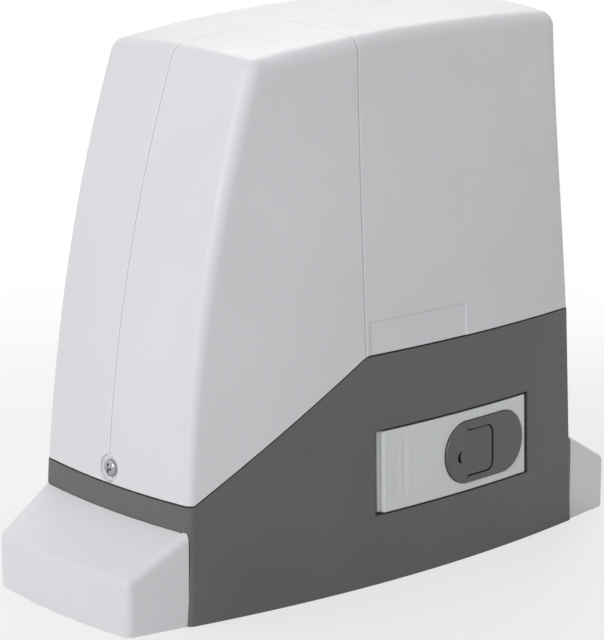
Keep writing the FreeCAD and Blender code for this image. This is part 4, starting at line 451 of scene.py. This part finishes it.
def turnedPiece(name, profile, origin, axis):
    # Points (radius, distance along the axis) turned about the axis; the first and last lie on it.
    forward = np.array(Vector(axis).normalized())
    side = np.array(Vector(axis).orthogonal().normalized())
    other = np.cross(forward, side)
    angle = np.linspace(0, 2 * math.pi, turnSteps, endpoint=False)
    ring = np.cos(angle)[:, None] * side + np.sin(angle)[:, None] * other
    points = [np.array(origin) + radius * ring + along * forward for radius, along in profile]
    return meshPiece(name, np.concatenate(points), gridFaces(len(profile), turnSteps, True))


def cylinderPiece(name, radius, length, origin, axis):
    profile = [(onAxis, 0), (radius, 0), (radius, length), (onAxis, length)]
    return turnedPiece(name, profile, origin, axis)


def spun(flat, turn):
    # Directions in the plan turned to the left.
    x, y = flat[..., 0], flat[..., 1]
    return np.stack((x * np.cos(turn) - y * np.sin(turn), x * np.sin(turn) + y * np.cos(turn)), -1)


def roundedEdge(corner, climb, inward, radius, steps):
    # The wall climbs to the corner and the roof leaves it inwards. Both are tangent to a circle whose
    # centre lies on the line between them, radius / sin(opening / 2) from the corner. Returns the two
    # tangent points and the rows of the arc from one to the other.
    opening = np.arccos(-np.sum(climb * inward, axis=1))
    reach = (radius / np.tan(opening / 2))[:, None]
    centre = corner + unit(inward - climb) * (radius / np.sin(opening / 2))[:, None]
    start = corner - climb * reach
    finish = corner + inward * reach
    swing = (math.pi - opening)[:, None]
    rows = []
    for t in np.linspace(0, 1, steps):
        fromStart = np.sin((1 - t) * swing) / np.sin(swing)
        fromFinish = np.sin(t * swing) / np.sin(swing)
        rows.append(centre + (start - centre) * fromStart + (finish - centre) * fromFinish)
    return start, finish, rows


# Cover

coverValues = {
    "heights": (50.0, 124.0, 205.0, 302.0),      # the foot, the waist, the shoulder and above the crown
    "left": (-139.5, -133.6, -119.0, -89.7),
    "right": (139.5, 137.3, 129.7, 122.8),
    "half": (60.8, 58.6, 58.4, 58.0),
    "sideBow": (12.6, 12.6, 7.8, 4.2),
    "endBow": (4.8, 4.8, 4.2, 3.6),
    "corner": (5.0, 10.0),                       # upright corner radius at the foot and at the top
    "lowRim": 63.0, "highRim": 125.0,
    "rise": (-136.0, -28.0),                     # where the lower edge climbs from low to high
    "crown": 298.0, "crownX": 50.0, "longRadius": 1000.0, "crossRadius": 460.0,
    "topRound": 9.0,                             # has to stay below the upper corner radius
    "topGuess": 5.0, "rounds": 12,               # first guess below the crown, and rounds to mend it
    "wall": 2.8,
    "wallRows": 56, "roundRows": 9, "domeRows": 16,
    "frontColumns": (30, 43), "endColumns": 34, "cornerColumns": 13,
    "plate": (-26.0, 46.0, 143.0),               # left, right and top of the plate recess
    "plateDepth": 0.6, "plateBelow": 20.0, "plateOut": 6.0, "plateGrid": (25, 9),
    "screwLift": 7.6,                            # screw axis above the lower edge
    "dishRadius": 7.5, "dishDepth": 2.0,
    "dishCurve": ((-1.2, 0.0), (-0.5, 0.25), (-0.15, 0.8)),
    "dishFlare": (0.6, 4.0),
}


def heightCurve(values, name, height):
    # The one cubic that passes through the four sections.
    return np.polyval(np.polyfit(values["heights"], values[name], 3), height)


def planPoints(values, side, share, height):
    # Plan outline at a height. Sides 0 to 3 are shallow swells between the corners: chord plus
    # 4 * bow * s * (1 - s) outwards. Sides 4 to 7 are the rounded corners that follow them, each an
    # arc tangent to both swells. Returns the points and the outward directions.
    left, right, half = (heightCurve(values, name, height) for name in ("left", "right", "half"))
    bows = [heightCurve(values, name, height)[:, None] for name in ("sideBow", "endBow") * 2]
    low, high = values["heights"][0], values["heights"][-1]
    radius = values["corner"][0] + (values["corner"][1] - values["corner"][0]) * (height - low) / (high - low)
    corners = [np.stack(pair, -1) for pair in ((left, -half), (right, -half), (right, half), (left, half))]
    chords = [corners[(k + 1) % 4] - corners[k] for k in range(4)]
    normals = [unit(np.stack((chord[:, 1], -chord[:, 0]), -1)) for chord in chords]
    starts = [unit(chords[k] + 4 * bows[k] * normals[k]) for k in range(4)]
    ends = [unit(chords[k] - 4 * bows[k] * normals[k]) for k in range(4)]
    bends = [np.arccos(np.sum(ends[k] * starts[(k + 1) % 4], axis=1)) for k in range(4)]
    cuts = [radius * np.tan(bend / 2) for bend in bends]
    points = np.zeros((len(height), 2))
    outward = np.zeros((len(height), 2))
    for k in range(4):
        here = side == k
        length = np.linalg.norm(chords[k], axis=1)
        first = cuts[k - 1] / length
        s = (first + (1 - cuts[k] / length - first) * share)[:, None]
        along = unit(chords[k] + 4 * bows[k] * (1 - 2 * s) * normals[k])
        points[here] = (corners[k] + chords[k] * s + 4 * bows[k] * s * (1 - s) * normals[k])[here]
        outward[here] = np.stack((along[:, 1], -along[:, 0]), -1)[here]
        there = side == k + 4
        flat = np.stack((ends[k][:, 1], -ends[k][:, 0]), -1)
        centre = corners[(k + 1) % 4] - ends[k] * cuts[k][:, None] - flat * radius[:, None]
        facing = spun(flat, bends[k] * share)
        points[there] = (centre + facing * radius[:, None])[there]
        outward[there] = facing[there]
    return points, outward


def domeHeight(values, x, y):
    # An arc across the cover swung about a far axis below it.
    drop = values["crossRadius"] - np.sqrt(values["crossRadius"] ** 2 - y ** 2)
    reach = values["longRadius"] - drop
    return values["crown"] - values["longRadius"] + np.sqrt(reach ** 2 - (x - values["crownX"]) ** 2)


def rimHeight(values, x):
    return np.interp(x, values["rise"], (values["lowRim"], values["highRim"]))


def coverColumns(values):
    # One column stands exactly where the lower edge bends on the front and on the back.
    left, right = values["left"][1], values["right"][1]
    bend = (values["rise"][1] - left) / (right - left)
    before, behind = values["frontColumns"]
    front = np.concatenate([np.linspace(0, bend, before)[1:], np.linspace(bend, 1, behind)[1:-1]])
    end = np.linspace(0, 1, values["endColumns"])[1:-1]
    corner = np.linspace(0, 1, values["cornerColumns"])
    side, share = [], []
    for k, shares in enumerate((front, end, 1 - front[::-1], end)):
        side += [np.full(len(shares), k), np.full(len(corner), k + 4)]
        share += [shares, corner]
    return np.concatenate(side), np.concatenate(share)


def coverSurface(values):
    # The wall rises from the lower edge, an arc rounds the top edge, and the dome runs in from it to a
    # short ridge line on the middle. The heights of both edges are found by going round a few times.
    side, share = coverColumns(values)
    low = np.full(len(side), values["highRim"])
    top = np.full(len(side), values["crown"] - values["topGuess"])
    for _ in range(values["rounds"]):
        low = rimHeight(values, planPoints(values, side, share, low)[0][:, 0])
        edge = planPoints(values, side, share, top)[0]
        top = domeHeight(values, edge[:, 0], edge[:, 1])
    edge, outward = planPoints(values, side, share, top)
    below = planPoints(values, side, share, top - 1)[0]
    climb = unit(np.column_stack([edge - below, np.ones(len(top))]))
    inner = edge - outward
    inward = unit(np.column_stack([-outward, domeHeight(values, inner[:, 0], inner[:, 1]) - top]))
    start, finish, arc = roundedEdge(np.column_stack([edge, top]), climb, inward, values["topRound"],
                                     values["roundRows"])
    rows = []
    for t in np.linspace(0, 1, values["wallRows"])[:-1]:
        height = low + (start[:, 2] - low) * t
        rows.append(np.column_stack([planPoints(values, side, share, height)[0], height]))
    rows += arc
    half = np.abs(finish[:, 1]).max()
    ridge = np.clip(finish[:, 0], finish[:, 0].min() + half, finish[:, 0].max() - half)
    for t in np.linspace(0, 1, values["domeRows"])[1:]:
        x = finish[:, 0] + (ridge - finish[:, 0]) * t
        y = finish[:, 1] * (1 - t)
        rows.append(np.column_stack([x, y, domeHeight(values, x, y)]))
    return np.concatenate(rows), gridFaces(len(rows), len(side), True)


def coverFrontY(values, x, height):
    left, right = heightCurve(values, "left", height), heightCurve(values, "right", height)
    s = (x - left) / (right - left)
    return -(heightCurve(values, "half", height) + 4 * heightCurve(values, "sideBow", height) * s * (1 - s))


def plateCutter(values):
    # Slab whose back face follows the front wall a little way in.
    left, right, top = values["plate"]
    columns, rows = values["plateGrid"]
    bottom = values["highRim"] - values["plateBelow"]
    x, z = np.meshgrid(np.linspace(left, right, columns), np.linspace(bottom, top, rows))
    wall = coverFrontY(values, x, z)
    back = np.stack([x, wall + values["plateDepth"], z], -1).reshape(-1, 3)
    front = np.stack([x, wall - values["plateOut"], z], -1).reshape(-1, 3)
    return meshPiece("plateCutter", *closedShell(back, front, rows, columns))


def screwSpot(values, side):
    # Where the bottom of a screw's dish lies along X, and the height of its axis.
    height = values["lowRim" if side < 0 else "highRim"] + values["screwLift"]
    end = heightCurve(values, "left" if side < 0 else "right", height)
    return end + side * (heightCurve(values, "endBow", height) - values["dishDepth"]), height


def dishCutter(values, side):
    bottom, height = screwSpot(values, side)
    radius, deep = values["dishRadius"], values["dishDepth"]
    flare, out = values["dishFlare"]
    profile = [(onAxis, 0)] + [(radius + wide, rise) for wide, rise in values["dishCurve"]]
    profile += [(radius, deep), (radius + flare, deep + out), (onAxis, deep + out)]
    return turnedPiece("dishCutter", profile, (bottom, 0, height), (side, 0, 0))


def coverPiece(values, finish):
    points, faces = coverSurface(values)
    cover = meshPiece("coverShell", points, faces)
    thicken(cover, values["wall"])
    carve(cover, [plateCutter(values), dishCutter(values, -1), dishCutter(values, 1)])
    smoothPiece(cover, finish)
    return cover


# The cover's plastic carries painted shade along each seam and a painted highlight beside it.
cover = coverPiece(coverValues, mouldedFinish("shellPaintedSeamShade", shellColor, seamShading=paintedSeamShadeValues))
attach(cover, "cover")
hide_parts("cover")
print("cover:", len(cover.data.polygons), "faces")

# Cover screws

screwValues = {
    "head": 4.6, "tall": 2.9,
    "brim": 0.42,                                # share of the head's height below its dome
    "domeSteps": 12,
    "shank": 2.5, "length": 13.5, "point": 0.6,
    "gap": 0.05,                                 # between the head and the dish
    "cross": 3.2, "blade": 0.8, "deep": 2.0,     # half width, half thickness and depth of the recess
    "crossShares": (0.35, 1.1),                  # its half width at the bottom and above the head
    "bladeTaper": 0.25, "above": 0.5,
}


def crossBlade(values, side, x, z, turned):
    # One tapered blade of the cross recess; turned swaps its width and its height.
    levels = (x + side * (values["tall"] - values["deep"]), x + side * (values["tall"] + values["above"]))
    points = []
    for level, share in zip(levels, values["crossShares"]):
        thin = values["blade"] * (1 - values["bladeTaper"] * (1 - share))
        for a, b in ((-1, -1), (1, -1), (1, 1), (-1, 1)):
            spot = (values["cross"] * share * a, thin * b)
            points.append((level, spot[turned], z + spot[1 - turned]))
    faces = [(0, 1, 2, 3), (7, 6, 5, 4)] + [(k, (k + 1) % 4, (k + 1) % 4 + 4, k + 4) for k in range(4)]
    return meshPiece("crossBlade", points, faces)


def screwsPiece(values, shell, finish):
    # A pan head: an upright brim, and above it a quarter of an ellipse up to the axis.
    head, tall, brim = values["head"], values["tall"], values["brim"]
    shank, length, point = values["shank"], values["length"], values["point"]
    dome = [(head * math.cos(t), tall * (brim + (1 - brim) * math.sin(t)))
            for t in np.linspace(0, math.pi / 2, values["domeSteps"])[:-1]]
    profile = [(onAxis, -length), (shank - point, -length), (shank, point - length), (shank, 0), (head, 0)]
    profile += dome + [(onAxis, tall)]
    pair = []
    for side in (-1, 1):
        bottom, z = screwSpot(shell, side)
        x = bottom + side * values["gap"]
        screw = turnedPiece("screw", profile, (x, 0, z), (side, 0, 0))
        carve(screw, [crossBlade(values, side, x, z, turned) for turned in (0, 1)])
        pair.append(screw)
    carve(pair[0], [pair[1]], "UNION")
    smoothPiece(pair[0], finish)
    return pair[0]


screwChrome = metalFinish("screwChrome", (0.42, 0.42, 0.44), rough=(0.12, 0.22))
screws = screwsPiece(screwValues, coverValues, screwChrome)
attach(screws, "cover")
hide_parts("cover_screws")
print("cover screws:", len(screws.data.polygons), "faces")

# Foot covers

footValues = {
    "start": 139.9,         # where the side walls meet the rounded corner of the base
    "draft": 0.03,
    "nearHalf": 60.9, "farHalf": 55.0,
    "far": 174.4, "farBow": 4.2,
    "corner": 5.0,
    "base": 141.0, "baseBow": 4.8, "baseHalf": 62.3,
    "innerTop": 48.0, "outerTop": 29.0,
    "round": 5.0,
    "wall": 2.5,
    "gap": 0.3,
    "legSteps": 14, "cornerSteps": 9, "frontSteps": 18,
    "wallRows": 14, "roundRows": 9, "roofRows": 16,
}


def baseSwell(values, y):
    return values["baseBow"] * (1 - (y / values["baseHalf"]) ** 2)


def footRoof(values, x, y):
    # Falls outwards from the base; across the motor it swells in step with the base's end.
    start = values["base"] + values["baseBow"]
    fall = (values["innerTop"] - values["outerTop"]) / (values["far"] + values["farBow"] - start)
    return values["innerTop"] - fall * (x - values["base"] - baseSwell(values, y))


def footPath(values, inset):
    # Along one side wall, round the corner, along the outer wall, which bows by
    # farBow * (1 - (y / half) ** 2), and back by mirroring. Returns points and outward directions.
    near = np.array([values["start"], inset - values["nearHalf"]])
    tip = np.array([values["far"] - inset, inset - values["farHalf"]])
    leg = unit(tip - near)
    half = values["farHalf"] - inset
    face = unit(np.array([2 * values["farBow"] / half, 1.0]))
    bend = math.acos(float(leg @ face))
    radius = values["corner"] - inset
    cut = radius * math.tan(bend / 2)
    flat = np.array([leg[1], -leg[0]])
    centre = tip - leg * cut - flat * radius
    points, outward = [], []
    for s in np.linspace(0, 1, values["legSteps"])[:-1]:
        points.append(near + (tip - leg * cut - near) * s)
        outward.append(flat)
    for turn in np.linspace(0, bend, values["cornerSteps"]):
        outward.append(spun(flat, turn))
        points.append(centre + outward[-1] * radius)
    for y in np.linspace(cut - half, 0, values["frontSteps"])[1:]:
        points.append(np.array([values["far"] - inset + values["farBow"] * (1 - (y / half) ** 2), y]))
        outward.append(unit(np.array([1.0, 2 * values["farBow"] * y / half ** 2])))
    mirror = np.array([1.0, -1.0])
    return [np.concatenate([half, half[-2::-1] * mirror]) for half in map(np.array, (points, outward))]


def footSurface(values, inset):
    # Upright walls, a rounded edge, and a roof that runs in to the line where it meets the base.
    path, outward = footPath(values, inset)
    top = footRoof(values, path[:, 0], path[:, 1]) - inset
    inner = path - outward
    fall = footRoof(values, inner[:, 0], inner[:, 1]) - inset - top
    inward = unit(np.column_stack([-outward, fall]))
    start, finish, arc = roundedEdge(np.column_stack([path, top]), np.array([0.0, 0.0, 1.0]), inward,
                                     values["round"] - inset, values["roundRows"])
    rows = [np.column_stack([path, start[:, 2] * t]) for t in np.linspace(0, 1, values["wallRows"])[:-1]]
    rows += arc
    y = np.linspace(-1, 1, len(path)) * finish[:, 1].max()
    x = values["base"] + baseSwell(values, y) - values["draft"] * values["innerTop"] + values["gap"]
    for t in np.linspace(0, 1, values["roofRows"])[1:]:
        roofX = finish[:, 0] + (x - finish[:, 0]) * t
        roofY = finish[:, 1] + (y - finish[:, 1]) * t
        rows.append(np.column_stack([roofX, roofY, footRoof(values, roofX, roofY) - inset]))
    return np.concatenate(rows), len(rows), len(path)


def footPiece(values, side, finish):
    outer, rows, columns = footSurface(values, 0)
    inner = footSurface(values, values["wall"])[0]
    points, faces = closedShell(outer, inner, rows, columns)
    points[:, 0] *= side
    foot = meshPiece("footShell" + ("Left" if side < 0 else "Right"), points, faces)
    smoothPiece(foot, finish)
    return foot


for side, name in ((-1, "foot_cover_left"), (1, "foot_cover_right")):
    foot = footPiece(footValues, side, finishes["shell"])
    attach(foot, name)
    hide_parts(name)
print("foot covers:", len(foot.data.polygons), "faces each")

# Tools for pieces that follow the base's front. Their levels are millimetres proud of it.

frontValues = {
    "halfLength": 141.0, "halfDepth": 62.3, "draft": 0.03, "bow": 12.6,
    "borderSteps": 6,                            # grid lines over a rounded border
    "boxGrid": (12, 4),
    "outlineSteps": 16, "outlineGap": 1.5,       # points in a round corner, and the gap between the others
    "backRows": 8, "edgeRows": 7,
    "spineInset": 0.98,                          # share of the half height that the middle line keeps off
    "sharp": 0.05,                               # edge radius of a cutter
}


def frontY(x, z, values=frontValues):
    # Front of the base: a circular swell between the corners, leaning in with height.
    half = values["halfLength"] - values["draft"] * z
    radius = (half ** 2 + values["bow"] ** 2) / (2 * values["bow"])
    swell = np.sqrt(radius ** 2 - x ** 2) - (radius - values["bow"])
    return -(values["halfDepth"] - values["draft"] * z + swell)


def onFront(x, z, level):
    return np.stack([x, frontY(x, z) - level, z], -1).reshape(-1, 3)


def even(level):
    # The same level everywhere.
    return lambda x, z=0: x * 0 + level


def softStep(x, low, high):
    # 3 t^2 - 2 t^3 between the two marks.
    t = np.clip((x - low) / (high - low), 0, 1)
    return t * t * (3 - 2 * t)


def edgeLines(low, high, edge, inner):
    # Grid lines from edge to edge, crowded where the border is rounded.
    border = edge * (1 - np.cos(np.linspace(0, math.pi / 2, frontValues["borderSteps"])))
    middle = np.linspace(low + edge, high - edge, inner)
    return np.concatenate([low + border[:-1], middle, (high - border)[-2::-1]])


def borderDrop(x, low, high, edge):
    # Quarter round at both ends of a span.
    inside = np.clip(np.minimum(x - low, high - x), 0, edge)
    return edge - np.sqrt(edge ** 2 - (edge - inside) ** 2)


def slabPiece(name, x, z, front, back):
    # A sheet with its own level at every grid point, closed by a second sheet behind it.
    gridX, gridZ = np.meshgrid(x, z)
    outer = onFront(gridX, gridZ, front(gridX, gridZ))
    inner = onFront(gridX, gridZ, back(gridX, gridZ))
    return meshPiece(name, *closedShell(outer, inner, len(z), len(x)))


def boxPiece(name, spanX, spanZ, deep, high):
    columns, rows = frontValues["boxGrid"]
    return slabPiece(name, np.linspace(*spanX, columns), np.linspace(*spanZ, rows), even(high), even(-deep))


def roundedOutline(left, right, low, high, leftRadius, rightRadius):
    # Closed outline with straight sides and round corners; returns points and outward directions.
    spots = ((right, low, rightRadius, -90), (right, high, rightRadius, 0),
             (left, high, leftRadius, 90), (left, low, leftRadius, 180))
    points, outward = [], []
    for x, z, radius, first in spots:
        centreX = x + (radius if x == left else -radius)
        centreZ = z + (radius if z == low else -radius)
        for turn in np.radians(first + np.linspace(0, 90, frontValues["outlineSteps"])):
            outward.append((math.cos(turn), math.sin(turn)))
            points.append((centreX + radius * math.cos(turn), centreZ + radius * math.sin(turn)))
    points, outward = np.array(points), np.array(outward)
    filled, facing = [], []
    for k in range(len(points)):
        after = (k + 1) % len(points)
        count = max(1, int(np.linalg.norm(points[after] - points[k]) / frontValues["outlineGap"]))
        for s in np.arange(count) / count:
            filled.append(points[k] + (points[after] - points[k]) * s)
            facing.append(outward[k] + (outward[after] - outward[k]) * s)
    return np.array(filled), unit(np.array(facing))


def reliefPiece(name, outline, level, back, edge, capRows=18):
    # A plate of any outline on the base's front: rear cap, wall, rounded edge and front cap. Both caps
    # run in to a line along the middle of the outline.
    path, outward = outline
    across, upright = path[:, 0], path[:, 1]
    middle = (upright.min() + upright.max()) / 2
    half = (upright.max() - upright.min()) / 2
    inset = half * frontValues["spineInset"]
    ridge = np.clip(across, across.min() + inset, max(across.max() - inset, across.min() + half))
    spine = np.column_stack([ridge, np.full(len(path), middle)])
    radius = edge(across)
    rows = []
    for t in np.linspace(0, 1, frontValues["backRows"]):
        x, z = (spine + (path - spine) * t).T
        rows.append(onFront(x, z, even(-back)(x)))
    for turn in np.linspace(0, math.pi / 2, frontValues["edgeRows"]):
        x, z = (path - outward * (radius * (1 - math.cos(turn)))[:, None]).T
        rows.append(onFront(x, z, level(x, z) - radius * (1 - math.sin(turn))))
    rim = path - outward * radius[:, None]
    for t in np.linspace(0, 1, capRows)[1:]:
        x, z = (rim + (spine - rim) * t).T
        rows.append(onFront(x, z, level(x, z)))
    return meshPiece(name, np.concatenate(rows), gridFaces(len(rows), len(path), True))


def mirroredSpans(middle, near, far):
    # The same span below and above the middle.
    return (middle - far, middle - near), (middle + near, middle + far)


# Lever plate

leverValues = {
    "left": -19.6, "right": 95.2, "low": 38.3, "high": 82.6,
    "edge": 0.6, "skin": 4.0, "rim": 2.5, "depth": 11.0,
    "lines": (60, 34), "fluteLines": 60, "stepLines": 4,
    "step": (-17.3, -16.2), "stepDepth": 2.5,
    "flutes": (-7.5, -1.8, 3.9), "fluteDepths": (0.14, 0.3, 0.1), "fluteWidth": 1.5, "fluteMargin": 6.0,
    "fluteLow": 46.0, "fluteHigh": 76.0, "fluteSoft": 4.0,
    "past": 6.0,                                 # how far a cutter goes beyond the plate's back
    "hinge": (-10.0, -64.2), "knuckle": 5.6, "knuckleHeight": 13.0, "knuckleInset": 0.6,
    "web": (10.2, -1.5),
    "bore": 3.1, "boreFrom": 10.0, "boreLength": 90.0,
    "oval": (28.0, 93.0, 42.45, 77.55), "pocket": 2.05, "pocketOut": 3.0,
    "lock": (57.0, 60.0), "barrel": 8.05, "barrelFrom": -90.0, "barrelLength": 40.0,
    "topLip": 1.5, "topRelief": 1.4, "topStart": 0.2, "topOut": 2.0,
    "feet": (34.2, 63.4, 11.2, 13.4),            # x from and to, and nearest and farthest from the lock in z
    "footSlot": (9.0, 4.0),
    "window": (52.2, 69.0, 5.2),                 # z from and to, and level below the front
    "windowPast": (1.0, 0.4),
}


def leverLevel(values, x, z):
    # Rounded borders, soft upright flutes of depth * exp(-((x - flute) / width) ** 2), and a step down
    # at the left end.
    edge, soft, (first, last) = values["edge"], values["fluteSoft"], values["step"]
    level = -borderDrop(x, values["left"], values["right"], edge)
    level = level - borderDrop(z, values["low"], values["high"], edge)
    reach = softStep(z, values["fluteLow"] - soft, values["fluteLow"] + soft)
    reach = reach * (1 - softStep(z, values["fluteHigh"] - soft, values["fluteHigh"] + soft))
    for flute, deep in zip(values["flutes"], values["fluteDepths"]):
        level = level - deep * reach * np.exp(-((x - flute) / values["fluteWidth"]) ** 2)
    return level - values["stepDepth"] * (1 - np.clip((x - first) / (last - first), 0, 1))


def leverSlab(values):
    # The plate with its grid lines crowded at the borders, the flutes and the step.
    margin, (columns, rows) = values["fluteMargin"], values["lines"]
    flutes = np.linspace(values["flutes"][0] - margin, values["flutes"][-1] + margin, values["fluteLines"])
    step = np.linspace(*values["step"], values["stepLines"])
    across = edgeLines(values["left"], values["right"], values["edge"], columns)
    x = np.unique(np.concatenate([across, flutes, step]))
    z = edgeLines(values["low"], values["high"], values["edge"], rows)
    return slabPiece("leverPlate", x, z, lambda *spot: leverLevel(values, *spot), even(-values["depth"]))


def leverCutters(values):
    left, right, high = values["left"], values["right"], values["high"]
    deep = values["depth"] + values["past"]
    hingeX, hingeY = values["hinge"]
    lockX, lockZ = values["lock"]
    bore = cylinderPiece("bore", values["bore"], values["boreLength"],
                         (hingeX, hingeY, values["boreFrom"]), (0, 0, 1))
    radius = (values["oval"][3] - values["oval"][2]) / 2
    oval = reliefPiece("ovalPocket", roundedOutline(*values["oval"], radius, radius),
                       even(values["pocketOut"]), values["pocket"], even(frontValues["sharp"]))
    barrel = cylinderPiece("barrelHole", values["barrel"], values["barrelLength"],
                           (lockX, values["barrelFrom"], lockZ), (0, 1, 0))
    top = (high - values["topRelief"], high + values["topOut"])
    relief = boxPiece("topRelief", (values["step"][1] + values["topStart"], right + values["topOut"]), top,
                      deep, -values["topLip"])
    # The release rod passes the hinged rim when the lever stands open.
    low, upper, below = values["window"]
    before, behind = values["windowPast"]
    window = boxPiece("rodWindow", (left - before, left + values["rim"] + behind), (low, upper), deep, -below)
    first, last, near, far = values["feet"]
    slots = [boxPiece("footSlot", (first, last), span, *values["footSlot"])
             for span in mirroredSpans(lockZ, near, far)]
    return [bore, oval, barrel, relief, window] + slots


def leverPiece(values, finish):
    # A hollow plate with two hinge knuckles on webs.
    rim, knuckle, tall = values["rim"], values["knuckle"], values["knuckleHeight"]
    plate = leverSlab(values)
    spanX, spanZ = (values["left"] + rim, values["right"] - rim), (values["low"] + rim, values["high"] - rim)
    carve(plate, [boxPiece("leverHollow", spanX, spanZ, values["depth"] + values["past"], -values["skin"])])
    hingeX, hingeY = values["hinge"]
    inset = values["knuckleInset"]
    for foot in (values["low"] + inset, values["high"] - inset - tall):
        solid = cylinderPiece("knuckle", knuckle, tall, (hingeX, hingeY, foot), (0, 0, 1))
        web = boxPiece("web", (hingeX - knuckle, hingeX + knuckle), (foot, foot + tall), *values["web"])
        carve(plate, [solid], "UNION")
        carve(plate, [web], "UNION")
    carve(plate, leverCutters(values))
    smoothPiece(plate, finish)
    return plate


# Lock plate and key shutter

lockValues = {
    "oval": (28.5, 92.5, 42.95, 77.05), "level": 0.8, "back": 1.9, "edge": 0.7,
    "pocket": (31.0, 67.1, 46.0, 72.4), "pocketCorner": 5.2, "pocketDepth": 1.4,
    "out": 4.0,                                  # how far a cutter stands out of the plate
    "bareEnd": 45.72,                            # left of it the plate is as low as its pocket
    "lock": (57.0, 60.0), "barrel": 8.05, "barrelFrom": -90.0, "barrelLength": 40.0,
    "feet": (50.8, 62.0, 11.6, 13.0),            # x from and to, and nearest and farthest from the lock in z
    "slotX": (17.0, 0.5), "slotZ": 0.4, "slotDeep": 5.0,
    "headEnd": 45.6, "headCrest": 30.0, "headLevel": 1.7, "headBack": -0.15, "headRows": 26,
    "headEdge": 1.4, "headEdgeEnd": 0.1, "headEdgeFall": (38.0, 45.1), "headCorner": 0.3,
    "panel": (44.9, 65.7, 46.9, 71.6), "panelCorner": 4.5, "panelLevel": 0.75, "panelEdge": 0.4,
    "sunkLevel": 0.5, "sunkBack": 1.1, "sunkRoom": 0.1,
    "footDeep": 6.0, "hook": 15.0, "hookHigh": -4.6,
    "notch": (43.3, 57.9), "notchOuter": 6.0, "notchInner": 3.8, "notchSpread": 52.0, "notchSteps": 25,
    "notchPower": 0.8, "notchOverlap": 0.05, "notchOut": 3.0, "notchDeep": 1.2,
}


def platePiece(values, finish):
    # An oval plate with a pocket for the shutter, the barrel's hole and two slots for its feet.
    left, right, low, high = values["oval"]
    radius, corner, out = (high - low) / 2, values["pocketCorner"], values["out"]
    plate = reliefPiece("lockPlate", roundedOutline(left, right, low, high, radius, radius),
                        even(values["level"]), values["back"], even(values["edge"]))
    pocket = reliefPiece("platePocket", roundedOutline(*values["pocket"], corner, corner),
                         even(out), values["pocketDepth"], even(frontValues["sharp"]))
    bare = boxPiece("plateBare", (left - out, values["bareEnd"]), (low - out, high + out),
                    values["pocketDepth"], out)
    lockX, lockZ = values["lock"]
    barrel = cylinderPiece("plateHole", values["barrel"], values["barrelLength"],
                           (lockX, values["barrelFrom"], lockZ), (0, 1, 0))
    first, last, near, far = values["feet"]
    before, behind = values["slotX"]
    room = values["slotZ"]
    span = (first - before, last + behind)
    slots = [boxPiece("plateSlot", span, (lower - room, upper + room), values["slotDeep"], 0)
             for lower, upper in mirroredSpans(lockZ, near, far)]
    carve(plate, [pocket, bare, barrel] + slots)
    smoothPiece(plate, finish)
    return plate


def headLevel(values, x):
    # Falls from the thumb rest at the left to the level of the plate.
    fall = softStep(x, values["headCrest"], values["headEnd"])
    return values["headLevel"] - (values["headLevel"] - values["level"]) * fall


def notchCutter(values):
    # The finger notch is a crescent between an arc and that arc widened by sin(t) ** power.
    notchX, notchZ = values["notch"]
    inner, outer, steps = values["notchInner"], values["notchOuter"], values["notchSteps"]
    angle = np.radians(np.linspace(180 - values["notchSpread"], 180 + values["notchSpread"], steps))
    thick = inner + (outer - inner) * np.sin(np.linspace(0, math.pi, steps)) ** values["notchPower"]
    reach = np.stack([np.full(steps, inner - values["notchOverlap"]), (inner + thick) / 2, thick])
    x = notchX + reach * np.cos(angle)
    z = notchZ + reach * np.sin(angle)
    level = headLevel(values, x)
    front = onFront(x, z, level + values["notchOut"])
    back = onFront(x, z, level - values["notchDeep"])
    return meshPiece("notch", *closedShell(front, back, 3, steps))


def shutterPiece(values, finish):
    # A raised head, a flat panel beside it, and two hooked feet that hold it in the plate's slots.
    left, _, low, high = values["oval"]
    end, corner, small = values["headEnd"], values["panelCorner"], values["headCorner"]

    def headEdge(x):
        return values["headEdge"] * (1 - softStep(x, *values["headEdgeFall"])) + values["headEdgeEnd"]

    head = reliefPiece("shutterHead", roundedOutline(left, end, low, high, (high - low) / 2, small),
                       lambda x, z: headLevel(values, x), values["headBack"], headEdge, values["headRows"])
    skin = reliefPiece("shutterSkin", roundedOutline(*values["panel"], small, corner),
                       even(values["panelLevel"]), values["headBack"], even(values["panelEdge"]))
    # Below the skin the left end is round, so that it clears the round end of the recess when it slides.
    radius = (values["panel"][3] - values["panel"][2]) / 2 - values["sunkRoom"]
    sunk = reliefPiece("shutterPanel", roundedOutline(*values["panel"], radius, corner),
                       even(values["sunkLevel"]), values["sunkBack"], even(frontValues["sharp"]))
    carve(head, [skin, sunk], "UNION")
    first, last, near, far = values["feet"]
    lockZ, deep = values["lock"][1], values["footDeep"]
    for foot, hook in zip(mirroredSpans(lockZ, near, far), mirroredSpans(lockZ, near, values["hook"])):
        carve(head, [boxPiece("foot", (first, last), foot, deep, 0)], "UNION")
        carve(head, [boxPiece("hook", (first, last), hook, deep, values["hookHigh"])], "UNION")
    carve(head, [notchCutter(values)])
    smoothPiece(head, finish)
    return head


lever = leverPiece(leverValues, finishes["lever"])
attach(lever, "release_lever")
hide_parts("release_lever")
lockPlate = platePiece(lockValues, finishes["lock_trim"])
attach(lockPlate, "release_lever")
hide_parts("lock_escutcheon")
shutter = shutterPiece(lockValues, finishes["lock_trim"])
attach(shutter, "key_shutter")
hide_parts("key_shutter")
counts = [len(piece.data.polygons) for piece in (lever, lockPlate, shutter)]
print("lever, lock plate and shutter:", counts, "faces")
